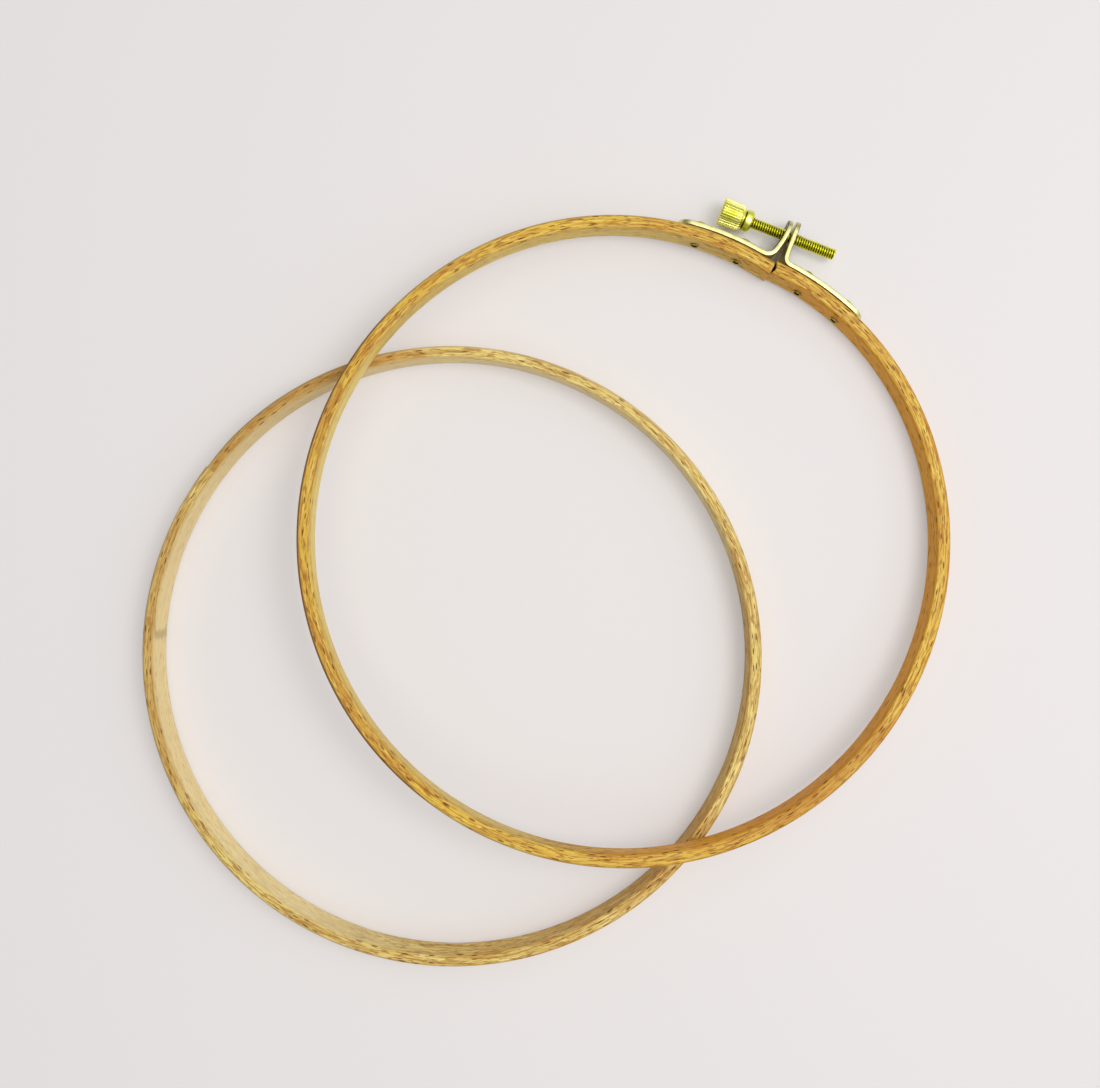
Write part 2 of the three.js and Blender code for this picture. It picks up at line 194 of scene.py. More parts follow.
def new_piece(
    name: str,
    points: np.ndarray,
    faces: np.ndarray,
    finish: bpy.types.Material,
    fields: dict[str, np.ndarray] | None = None,
    sharp_deg: float = 40,
) -> bpy.types.Object:
    """Makes a mesh object at the origin from a closed grid.

    Args:
        name: the object's name.
        points: vertices in the row frame, in metres, as (n, 3).
        faces: quads or triangles; they are turned over if they point inwards.
        finish: its material.
        fields: point attributes, one number or three for each vertex.
        sharp_deg: edges that turn more than this are shaded as edges.

    Returns:
        The new object.
    """
    if volume_sign(points - points.mean(0), faces) < 0:
        faces = faces[:, ::-1]
    mesh = bpy.data.meshes.new(name)
    mesh.from_pydata(points.tolist(), [], faces.tolist())
    for key, values in (fields or {}).items():
        is_vector = values.ndim == 2
        layer = mesh.attributes.new(key, "FLOAT_VECTOR" if is_vector else "FLOAT", "POINT")
        layer.data.foreach_set("vector" if is_vector else "value", values.astype(np.float32).ravel())
    tidy = bmesh.new()
    tidy.from_mesh(mesh)
    bmesh.ops.remove_doubles(tidy, verts=tidy.verts, dist=WELD)
    tidy.to_mesh(mesh)
    tidy.free()
    mesh.shade_smooth()
    mesh.set_sharp_from_angle(angle=math.radians(sharp_deg))
    mesh.materials.append(finish)
    piece = bpy.data.objects.new(name, mesh)
    bpy.context.scene.collection.objects.link(piece)
    log.info("%s: %d vertices, %d faces", name, len(mesh.vertices), len(mesh.polygons))
    return piece


def stand_for(piece: bpy.types.Object, node: str, body: str = "") -> bpy.types.Object:
    """Hides the node that a piece replaces and, if it rides on only one body, hangs it on that body.

    Args:
        piece: the piece.
        node: the node that it replaces.
        body: the body that carries it.

    Returns:
        The piece.
    """
    if body:
        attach(piece, body)
    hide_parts(node)
    return piece


def add_node(
    tree: bpy.types.NodeTree,
    kind: str,
    inputs: dict | None = None,
    output: int | str = 0,
    **settings: str | int | bool,
) -> bpy.types.NodeSocket | None:
    """Adds a shader node with its settings and links.

    Args:
        tree: the material's or world's node tree.
        kind: the node's type, without ShaderNode in front.
        inputs: for each input's name or number, its value or the socket that feeds it.
        output: the name or number of the output that is wanted.
        settings: the node's own attributes.

    Returns:
        The output's socket, or None on a node that has none.
    """
    made = tree.nodes.new("ShaderNode" + kind)
    for key, value in settings.items():
        setattr(made, key, value)
    for key, value in (inputs or {}).items():
        if isinstance(value, bpy.types.NodeSocket):
            tree.links.new(value, made.inputs[key])
        else:
            made.inputs[key].default_value = value
    return made.outputs[output] if len(made.outputs) else None


def blank_material(name: str) -> tuple[bpy.types.Material, partial]:
    """Makes a node material with nothing in it yet.

    Args:
        name: the material's name.

    Returns:
        The material, and the function that adds a node to it.
    """
    material = bpy.data.materials.new(name)
    material.use_nodes = True
    material.node_tree.nodes.clear()
    return material, partial(add_node, material.node_tree)


# Finishes


@dataclass(frozen=True)
class Figure:
    """One layer of the wood's figure: noise stretched along the grain."""

    sizes: tuple[float, float, float]  # of a feature along the bend, across the strip and up it, in mm
    low: float  # the noise value at which the layer's colour begins to show
    high: float  # the value at which it is full
    detail: float = 3.0


@dataclass(frozen=True)
class Tint:
    """A colour laid over the ground, and how strongly."""

    colour: str
    share: float


@dataclass(frozen=True)
class SandedBeech:
    """Steamed beech, planed, bent and sanded, with a thin satin seal.

    That gives the eye a warm yellow ground with fine streaks along the bend, short dark ray flecks, and a
    soft broad shine. The pattern is solid: it reads the piece's own grain attribute, the place along the
    bend, across the strip and up it in millimetres, so it runs through the faces as real wood does. The
    marks attribute holds how much painted shade a rounded edge takes (2 on the sawn ends: darker end grain
    with painted shade in the cut), how pale a wide wall is, with painted light (or, below zero, how much
    more yellow with painted shade) and how much of a browner stretch a point has.
    """

    name: str
    pale: str  # the ground colour
    streaks: tuple[Tint, ...]  # one for each figure
    wall: Tint  # the wide faces, planed smooth before bending, are paler, and paler still with painted light where they face the lamp
    shade_amber: Tint  # painted shade: a deeper yellow on the walls that face away from the lamp
    tan: Tint  # the browner stretch of the strip
    rim: Tint  # painted shade on the rounded edges; the sawn end grain is darker, with more painted shade in the narrow cut
    fleck: str  # the rays, cut across
    figures: tuple[Figure, ...] = (
        Figure((40, 3.0, 3.2), 0.42, 0.62),
        Figure((11, 0.5, 0.55), 0.52, 0.62, 2),
        Figure((15, 0.8, 0.9), 0.5, 0.62),
        Figure((2.6, 0.38, 0.42), 0.54, 0.61, 1),
        Figure((6, 0.34, 0.36), 0.52, 0.6, 2),
    )
    sway_size: tuple[float, float, float] = (26, 6, 6)  # of one wander of the grain lines
    sway: float = 1.3  # how far they wander
    fleck_size: tuple[float, float, float] = (3.6, 0.58, 0.58)  # of a cell that holds one, in millimetres
    fleck_reach: float = 0.29  # half the fleck's size, in cells
    fleck_core: float = 0.72  # the part of the reach inside which it is full
    fleck_share: float = 0.9
    fleck_lot: tuple[float, float] = (0.2, 0.55)  # the lots at which a cell is bare, and full
    fleck_fade: float = 0.6  # how much fainter the flecks are on the palest walls
    end_grain_and_shade_share: float = 0.94  # how much of the fleck's colour the sawn ends take: their darker end grain and painted shade in the cut
    relief: float = 0.06  # depth of the grain, in millimetres
    rough: tuple[float, float] = (0.45, 0.62)
    shine: float = 0.22  # the seal has sunk in, so it shines less than a coat would
    lap_run: float = 0.0  # length of a glued lap along the bend, 0 for none
    lap_start: float = 0.0  # thickness of the lap's blunt end
    lap_thick: float = 0.0  # thickness of the whole strip

    def build(self) -> bpy.types.Material:
        """Makes the material.

        Returns:
            The material.
        """
        material, node = blank_material(self.name)
        grain = node("Attribute", output="Vector", attribute_name=GRAIN)
        marks = node("Attribute", output="Vector", attribute_name=MARKS)
        rim, wall, tan = node("SeparateXYZ", {0: marks}).node.outputs
        glue = None
        if self.lap_run:
            grain, glue = self.across_the_lap(node, grain)
        slow = node("VectorMath", {0: grain, 1: inverse(self.sway_size)}, operation="MULTIPLY")
        sway = node("TexNoise", {"Vector": slow, "Scale": 1.0, "Detail": 1.0}, "Color")
        aside = (0, self.sway, self.sway)
        grain = node("VectorMath", {0: sway, 1: aside, 2: grain}, operation="MULTIPLY_ADD")
        colour = srgb(self.pale)
        for figure, streak in zip(self.figures, self.streaks):
            place = node("VectorMath", {0: grain, 1: inverse(figure.sizes)}, operation="MULTIPLY")
            noise = {"Vector": place, "Scale": 1.0, "Detail": figure.detail, "Roughness": 0.6}
            height = node("TexNoise", noise)
            shown = {"Value": height, "From Min": figure.low, "From Max": figure.high, "To Max": streak.share}
            share = node("MapRange", shown, **SOFT)
            colour = node("Mix", {0: share, 6: colour, 7: srgb(streak.colour)}, 2, **RGBA)
        fleck = self.flecks(node, grain, wall)
        # The rim mark up to 1 is painted shade on the rounded edges; above 1 it is the sawn ends' darker end
        # grain with painted shade. A wall's paleness comes with painted light, and below zero the wall takes
        # painted shade.
        edge_shade = node("Math", {0: rim, 1: 1.0}, operation="MINIMUM")
        sawn = node("Math", {0: rim, 1: 1.0}, operation="SUBTRACT", use_clamp=True)
        below = node("Math", {0: wall, 1: -1.0}, operation="MULTIPLY")
        for share, tint in (
            (tan, self.tan),
            (wall, self.wall),
            (below, self.shade_amber),
            (edge_shade, self.rim),
            (fleck, Tint(self.fleck, 1.0)),
            (sawn, Tint(self.fleck, self.end_grain_and_shade_share)),
        ):
            part = node("Math", {0: share, 1: tint.share}, operation="MULTIPLY", use_clamp=True)
            colour = node("Mix", {0: part, 6: colour, 7: srgb(tint.colour)}, 2, **RGBA)
        if glue:
            colour = node("Mix", {0: glue, 6: colour, 7: srgb(self.fleck)}, 2, **RGBA)
        raised = node("Math", {0: height, 1: fleck}, operation="SUBTRACT")
        bump = node("Bump", {"Strength": 0.6, "Distance": self.relief * MM, "Height": raised})
        low, high = self.rough
        gloss = {"Value": height, "From Min": 0.3, "From Max": 0.7, "To Min": low, "To Max": high}
        skin = {"IOR": 1.5, "Specular IOR Level": self.shine, "Base Color": colour, "Normal": bump}
        shader = node("BsdfPrincipled", {**skin, "Roughness": node("MapRange", gloss)})
        node("OutputMaterial", {"Surface": shader})
        return material

    def flecks(
        self, node: partial, grain: bpy.types.NodeSocket, wall: bpy.types.NodeSocket
    ) -> bpy.types.NodeSocket:
        """Spindle-shaped spots, one to a cell, each with its own darkness and fainter on the wide walls.

        Args:
            node: adds a node to the material's tree.
            grain: the grain vector.
            wall: how pale a wide wall is.

        Returns:
            A socket with the fleck's strength, 0 outside the spots.
        """
        place = node("VectorMath", {0: grain, 1: inverse(self.fleck_size)}, operation="MULTIPLY")
        cell = node("TexVoronoi", {"Vector": place, "Scale": 1.0, "Randomness": 1.0}).node.outputs
        core = self.fleck_reach * self.fleck_core
        edge = {"Value": cell["Distance"], "From Min": self.fleck_reach, "From Max": core}
        inside = node("MapRange", edge, **SOFT)
        lot = node("SeparateXYZ", {0: cell["Color"]})
        bare, full = self.fleck_lot
        shown = {"Value": lot, "From Min": bare, "From Max": full, "To Max": self.fleck_share}
        dark = node("MapRange", shown)
        kept = node("Math", {0: wall, 1: -self.fleck_fade, 2: 1.0}, operation="MULTIPLY_ADD", use_clamp=True)
        drawn = node("Math", {0: inside, 1: dark}, operation="MULTIPLY")
        return node("Math", {0: drawn, 1: kept}, operation="MULTIPLY")

    def across_the_lap(
        self, node: partial, grain: bpy.types.NodeSocket
    ) -> tuple[bpy.types.NodeSocket, bpy.types.NodeSocket]:
        """Gives the wood under the glued lap the grain of the ring's other end, and finds the glue line.

        The lap's inner face starts under its blunt end and slopes through the strip's whole thickness.

        Args:
            node: adds a node to the material's tree.
            grain: the grain vector: along from the lap's end, depth under the outer wall, height.

        Returns:
            The new grain vector, and a socket that is highest on the glue line.
        """
        along, depth, _ = node("SeparateXYZ", {0: grain}).node.outputs
        slope = (self.lap_thick - self.lap_start) / self.lap_run
        line = node("Math", {0: along, 1: slope, 2: self.lap_start}, operation="MULTIPLY_ADD")
        under = node("Math", {0: depth, 1: line}, operation="SUBTRACT")
        below = node("Math", {0: under, 1: 0.0}, operation="GREATER_THAN")
        other_end = (471.0, 2.1, 3.7)  # how far off its pattern is, in millimetres
        moved = node("VectorMath", {0: other_end, "Scale": below}, operation="SCALE")
        grain = node("VectorMath", {0: grain, 1: moved}, operation="ADD")
        off = node("Math", {0: under}, operation="ABSOLUTE")
        glue = node("MapRange", {"Value": off, "From Min": 0.1, "From Max": 0.03, "To Max": 0.35})
        return grain, glue


@dataclass(frozen=True)
class Brass:
    """Brass: metal with its own colour, a little uneven in gloss and dull where it has been handled.

    That gives the eye small hard highlights beside deep reflections. The root attribute is painted shade, up
    to 1, that turns the metal brown: in the bottom of a thread or flute, in a rivet's bore and between the ears.
    """

    name: str
    bright: str
    dull: str
    # the painted shade's colour
    painted_shade_colour: str
    rough: float  # where it is brightest
    patch: float  # size of the dull patches, in millimetres
    dull_share: float
    mark: float  # depth of the tool marks, in millimetres
    mark_size: float = 0.3  # between them, in millimetres
    rougher: float = 0.2  # how much rougher it is where it is dullest
    dull_edge: tuple[float, float] = (0.42, 0.68)  # the noise values at which it begins to dull, and is dull

    def build(self) -> bpy.types.Material:
        """Makes the material.

        Returns:
            The material.
        """
        material, node = blank_material(self.name)
        place = node("TexCoord", output="Object")
        root = node("Attribute", output="Fac", attribute_name=SHADE_MARK)
        patches = node("TexNoise", {"Vector": place, "Scale": 1 / (self.patch * MM), "Detail": 3.0})
        low, high = self.dull_edge
        dulled = {"Value": patches, "From Min": low, "From Max": high, "To Max": self.dull_share}
        worn = node("MapRange", dulled, **SOFT)
        colour = node("Mix", {0: worn, 6: srgb(self.bright), 7: srgb(self.dull)}, 2, **RGBA)
        # painted shade from the root attribute
        colour = node("Mix", {0: root, 6: colour, 7: srgb(self.painted_shade_colour)}, 2, **RGBA)
        roughest = self.rough + self.rougher
        gloss = node("MapRange", {"Value": patches, "To Min": self.rough, "To Max": roughest})
        marks = node("TexNoise", {"Vector": place, "Scale": 1 / (self.mark_size * MM), "Detail": 2.0})
        bump = node("Bump", {"Strength": 0.5, "Distance": self.mark * MM, "Height": marks})
        skin = {"Metallic": 1.0, "Base Color": colour, "Roughness": gloss, "Normal": bump}
        node("OutputMaterial", {"Surface": node("BsdfPrincipled", skin)})
        return material


@dataclass(frozen=True)
class MattBoard:
    """Smooth matt board, white and a little pink: no shine, and paler in the photograph than its own light.

    What the camera and the metal see of it is partly its own colour at full strength, so that the object's
    shadows on it stay as light as the photograph's.
    """

    name: str = "board_matt_white"
    colour: str = "#ebe7e6"
    own_light: float = 0.36
    pocket: float = 6.5  # millimetres: closed in nearer than this, as between the clamp's ears, it takes painted shade
    closed: tuple[float, float] = (0.14, 0.36)  # how open it is where it is darkest, and where it is plain
    pocket_shade_tint: str = "#86741e"  # the colour of that painted shade, as light bounced off the brass and wood round such a pocket

    def build(self) -> bpy.types.Material:
        """Makes the material.

        Returns:
            The material.
        """
        material, node = blank_material(self.name)
        ray = node("LightPath").node.outputs
        mirrored = node("Math", {0: ray["Is Glossy Ray"], 1: ray["Is Transmission Ray"]}, operation="ADD")
        seen = node("Math", {0: ray["Is Camera Ray"], 1: mirrored}, operation="ADD", use_clamp=True)
        # Painted shade in pockets: where the board is closed in, its own light is cut and its colour is mixed
        # towards the pocket tint.
        open_share = node("AmbientOcclusion", {"Distance": self.pocket * MM}, "AO", samples=16)
        low, high = self.closed
        unshaded = node("MapRange", {"Value": open_share, "From Min": low, "From Max": high})
        own = node("Math", {0: unshaded, 1: self.own_light}, operation="MULTIPLY")
        share = node("Math", {0: seen, 1: own}, operation="MULTIPLY")
        colour = node("Mix", {0: unshaded, 6: srgb(self.pocket_shade_tint), 7: srgb(self.colour)}, 2, **RGBA)
        board = node("BsdfPrincipled", {"Base Color": colour, "Roughness": 0.95, "IOR": 1.2})
        glow = node("Emission", {"Color": colour, "Strength": 1.0})
        node("OutputMaterial", {"Surface": node("MixShader", {0: share, 1: board, 2: glow})})
        return material


# Wood


@dataclass(frozen=True)
class Section:
    """A strip of wood cut across: a rectangle with rounded edges.

    Points run anticlockwise in (outwards, up), from the middle, in millimetres. Rows close beside each
    rounded edge keep the flat faces flat where they are shaded.
    """

    thick: float
    height: float
    round: float
    arc_steps: int = 7
    flat_places: tuple[float, ...] = (0.04, 0.25, 0.5, 0.75, 0.96)

    def outline(self) -> tuple[np.ndarray, np.ndarray]:
        """Works the outline out.

        Returns:
            The points, as (n, 2), and for each the share of rim (1 on the rounded edges, 0 on the flats).
        """
        x, y = self.thick / 2 - self.round, self.height / 2 - self.round
        centres = np.array([[x, y], [-x, y], [-x, -y], [x, -y]])
        points, rim = [], []
        for k, centre in enumerate(centres):
            arc = centre + self.round * compass(90 * k + np.linspace(0, 90, self.arc_steps))
            spoke = self.round * compass(np.array(90.0 * (k + 1)))
            start, end = centre + spoke, centres[(k + 1) % 4] + spoke
            flat = start + np.array(self.flat_places)[:, None] * (end - start)
            points += [arc, flat]
            rim += [np.sin(np.linspace(0, np.pi, self.arc_steps)), np.zeros(len(flat))]
        return np.concatenate(points), np.concatenate(rim)

    def wall_share(self, out: np.ndarray) -> np.ndarray:
        """A point's share of a wide wall: 0 within half of the half thickness, then a smoothstep to 1."""
        return smooth((np.abs(out) / (self.thick / 2) - 0.5) / 0.5)


@dataclass(frozen=True)
class Stretch:
    """A stretch of a bent strip that differs: its two ends on the ring in degrees, and by how much."""

    start: float
    end: float
    share: float


def stretch_share(deg: np.ndarray, stretches: tuple[Stretch, ...], fade: float = 14.0) -> np.ndarray:
    """How much a strip differs at these angles: the highest of its stretches, each with smoothstep ends.

    Args:
        deg: angles on the ring, in degrees.
        stretches: the stretches.
        fade: the angle over which a stretch fades in and out.

    Returns:
        Shares from 0 up, of the angles' shape.
    """
    turn = np.asarray(deg) % 360
    shares = [
        part.share * smooth((turn - part.start) / fade) * smooth((part.end - turn) / fade)
        for part in stretches
    ]
    return np.max(shares, 0)


@dataclass(frozen=True)
class Wear:
    """Where round a ring the wood is browner, where its outer rounded edges take more painted shade, and where
    its walls are paler with painted light, the others taking painted shade.
    """

    brown: tuple[Stretch, ...]
    # stretches whose outer rounded edges take more painted shade
    edge_shade: tuple[Stretch, ...]
    edge_shade_rest: float  # how much painted shade all the other rounded edges take
    # stretches where the walls are paler with painted light
    pale: tuple[Stretch, ...]
    yellow: float  # painted shade: how yellow the walls are elsewhere, below zero
    outer_yellow: float = 1.0  # how much of that the outer wall has
    wall_fade: float = 40.0  # degrees

    def rim_shading(self, deg: np.ndarray, out: np.ndarray, rim: np.ndarray) -> np.ndarray:
        """How much painted shade points take on the rounded edges: the share of rim times the stretch's, or the
        rest's, up to 1.
        """
        dark = np.maximum(stretch_share(deg, self.edge_shade), self.edge_shade_rest)
        return np.minimum(rim * np.where(out > 0, dark, self.edge_shade_rest), 1)

    def walls(self, deg: np.ndarray, out: np.ndarray, share: np.ndarray) -> np.ndarray:
        """How pale points are: the share of wall times a tone that runs from the yellow of painted shade, below
        zero, to 1, paler with painted light.
        """
        tone = self.yellow + (1 - self.yellow) * stretch_share(deg, self.pale, self.wall_fade)
        return share * np.where((out > 0) & (tone < 0), tone * self.outer_yellow, tone)


def wood_fields(
    along: np.ndarray, depth: np.ndarray, up: np.ndarray, rim: np.ndarray, wall: np.ndarray, tan: np.ndarray
) -> dict[str, np.ndarray]:
    """The point attributes that the wood's pattern follows, each stretched over the whole grid.

    Args:
        along: place along the bend, in millimetres.
        depth: place under the outer wall, in millimetres.
        up: place up from the section's middle, in millimetres.
        rim: how much painted shade a rim takes.
        wall: how pale a wide wall is, with painted light, or below zero how much painted shade.
        tan: share of the browner stretch.

    Returns:
        The grain vector and the marks vector, one row for each vertex.
    """
    grain = np.stack(np.broadcast_arrays(along, depth, up), -1)
    marks = np.stack(np.broadcast_arrays(rim, wall, tan, along)[:3], -1)
    return {GRAIN: grain.reshape(-1, 3), MARKS: marks.reshape(-1, 3)}


@dataclass
class InnerRing:
    """The closed ring that lies flat on the table, with the blunt end of its glued lap in the outer wall."""

    finish: bpy.types.Material
    radius_out: float = 75.8
    section: Section = Section(3.1, 8.4, 0.7)
    lap_deg: float = 142.0  # where the lap's blunt end is
    step: float = 0.3  # the blunt end's height
    taper_deg: float = 10.0
    rise: float = 0.4  # of the wood beside the step over the taper, held at the step
    worn: float = 0.035  # sanding takes this much off, unevenly
    worn_seed: int = 11
    # The rim stretches, on the left where the outer edges face away from the lamp, and the rest are painted
    # shade; the pale stretch is painted light on the walls, and the walls elsewhere take painted shade.
    wear: Wear = Wear(
        brown=(Stretch(88, 152, 1.0), Stretch(142, 216, 0.7), Stretch(300, 338, 0.6)),
        edge_shade=(Stretch(90, 150, 0.8), Stretch(150, 225, 0.6)),
        edge_shade_rest=0.35,
        pale=(Stretch(0, 278, 1.0),),
        yellow=-0.3,
    )
    rows: int = 560

    def build(self) -> bpy.types.Object:
        """Sweeps the section once round from the lap's end.

        The strip just before the lap's end is thinner at its outer wall by the step, which tapers away over
        the taper angle, so the last row and the first make the step's face.

        Returns:
            The ring.
        """
        low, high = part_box("inner_ring")
        centre = np.array([low.x + high.x, low.y + high.y]) / 2 / MM
        close = np.array([0.0, 0.05, 0.15, 0.35])
        turn = np.concatenate([close, np.linspace(0.7, 359.3, self.rows), 359.97 - close[::-1]])
        outline, rim = self.section.outline()
        middle = self.radius_out - self.section.thick / 2
        recess = np.clip(self.step - self.rise * (360 - turn) / self.taper_deg, 0, None)
        recess[turn < 180] = 0
        depth = self.section.thick / 2 - outline[:, 0]
        inward = recess[:, None] * (1 - depth / self.section.thick)
        along = np.radians(turn)[:, None] * middle
        loss = sanded_off(along, len(outline), self.worn, self.worn_seed)
        radius = middle + outline[:, 0] - inward - loss * np.sign(outline[:, 0])
        deg = (self.lap_deg + turn)[:, None]
        flat = centre + radius[..., None] * compass(deg)
        level = np.broadcast_to(self.section.height / 2 + outline[:, 1], radius.shape)
        points = np.concatenate([flat, level[..., None]], -1).reshape(-1, 3) * MM
        rim = self.wear.rim_shading(deg, outline[:, 0], rim)
        wall = self.wear.walls(deg, outline[:, 0], self.section.wall_share(outline[:, 0]))
        fields = wood_fields(along, depth, outline[:, 1], rim, wall, stretch_share(deg, self.wear.brown))
        faces = grid_faces(len(turn), len(outline), True)
        piece = new_piece("inner_ring_beech", points, faces, self.finish, fields, SHARP_WOOD)
        return stand_for(piece, "inner_ring", "inner_ring_body")


@dataclass(frozen=True)
class OuterLine:
    """The outer ring's middle line and its place in the row frame.

    The ring is a circle whose sawn ends have sprung straighter: each lies inside the circle by its dip,
    which fades over the span along the ring as (1 - distance / span) to the power. Seen from the side the
    ring leans on the inner one: its far edge is on the table and its underside on the inner ring's top.
    """

    radius_out: float = 78.2
    section: Section = Section(3.5, 6.4, 0.7)
    saw_deg: float = 61.4
    left_dip: tuple[float, float, float] = (2.6, 75.0, 2.1)  # depth, span and power
    right_dip: tuple[float, float, float] = (2.0, 60.0, 2.0)
    offset: float = 51.6  # between the ring centres, seen from above
    offset_deg: float = 34.25
    seat_gap: float = 0.2  # between the two where the ring leans on the inner one
    inner_radius: float = 75.8
    inner_height: float = 8.4

    def dip(self, deg: np.ndarray) -> np.ndarray:
        """How far the ring lies inside its circle.

        Args:
            deg: angles on the ring, in degrees.

        Returns:
            Depths in millimetres.
        """
        off = (np.asarray(deg) - self.saw_deg + 180) % 360 - 180
        away = np.radians(np.abs(off)) * self.radius_out
        left, right = (
            depth * np.clip(1 - away / span, 0, None) ** power
            for depth, span, power in (self.left_dip, self.right_dip)
        )
        return np.where(off > 0, left, right)

    def middle(self, deg: np.ndarray) -> np.ndarray:
        """Points of the middle line at these angles."""
        radius = self.radius_out - self.section.thick / 2 - self.dip(deg)
        return compass(deg) * radius[..., None]

    def normal(self, deg: np.ndarray) -> np.ndarray:
        """Outward unit normals of the middle line, from points 0.05 degrees to each side.

        Angles count from the cut upwards for one turn, and neither point reaches across the cut.

        Args:
            deg: angles on the ring, in degrees.

        Returns:
            Unit vectors in plan, as (..., 2).
        """
        start, reach, clear = self.saw_deg, 0.05, 1e-4
        turn = (np.asarray(deg, float) - start) % 360
        behind = np.clip(turn - reach, clear, 360 - clear - reach)
        ahead = np.clip(turn + reach, clear + reach, 360 - clear)
        way = self.middle(start + ahead) - self.middle(start + behind)
        way /= np.linalg.norm(way, axis=-1, keepdims=True)
        return np.stack([way[..., 1], -way[..., 0]], -1)

    def off_wall(self, deg: np.ndarray, distance: float) -> np.ndarray:
        """Points at a distance outside the outer wall."""
        deg = np.asarray(deg, float)
        return self.middle(deg) + self.normal(deg) * (self.section.thick / 2 + distance)

    def at(self, side: Side, distance: float | np.ndarray) -> np.ndarray:
        """The angle at a distance along the ring from the saw cut."""
        return self.saw_deg + side.value * np.degrees(np.asarray(distance) / self.radius_out)

    def pose(self) -> Matrix:
        """The turn and place that take the ring's own frame to the row frame, in millimetres.

        Returns:
            The lean about the level line square to the offset, then the shift to the ring's centre.
        """
        edge = self.section.round
        reach_in, reach_out = self.inner_radius - edge, self.radius_out - self.section.thick + edge
        crossing = (self.offset**2 + reach_in**2 - reach_out**2) / (2 * self.offset)
        low_edge = self.radius_out - edge
        lean = math.asin((self.inner_height + self.seat_gap) / (self.offset + low_edge - crossing))
        way = compass(np.array(self.offset_deg))
        lift = low_edge * math.sin(lean) + edge * (1 - math.cos(lean))
        low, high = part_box("inner_ring")
        centre = Vector(((low.x + high.x) / 2 / MM, (low.y + high.y) / 2 / MM, lift))
        centre += Vector((*(way * self.offset), 0))
        return Matrix.Translation(centre) @ Matrix.Rotation(lean, 4, Vector((-way[1], way[0], 0)))

    def place(self, points: np.ndarray) -> np.ndarray:
        """Points of the ring's own frame, in millimetres, in the row frame, in metres."""
        pose = np.array(self.pose())
        return (points @ pose[:3, :3].T + pose[:3, 3]) * MM

    def turned(self, profile: np.ndarray, segments: int, foot: np.ndarray, way: np.ndarray) -> np.ndarray:
        """A profile turned about an axis that runs level at half the ring's height.

        Args:
            profile: radius and place along the axis, as (n, 2), or where they change round it as
                (n, segments, 2).
            segments: points round the axis.
            foot: where the axis starts, in plan.
            way: its direction, in plan.

        Returns:
            Points row by row in the row frame, in metres, as (n * segments, 3).
        """
        angle = np.linspace(0, 2 * np.pi, segments, endpoint=False)
        if profile.ndim == 2:
            profile = np.repeat(profile[:, None, :], segments, 1)
        radius, place = profile[..., 0], profile[..., 1]
        axis, side, up = np.array([[way[0], way[1], 0.0], [-way[1], way[0], 0.0], [0.0, 0.0, 1.0]])
        start = np.array([foot[0], foot[1], self.section.height / 2])
        spoke = np.cos(angle)[:, None] * side + np.sin(angle)[:, None] * up
        points = start + place[..., None] * axis + radius[..., None] * spoke[None]
        return self.place(points.reshape(-1, 3))


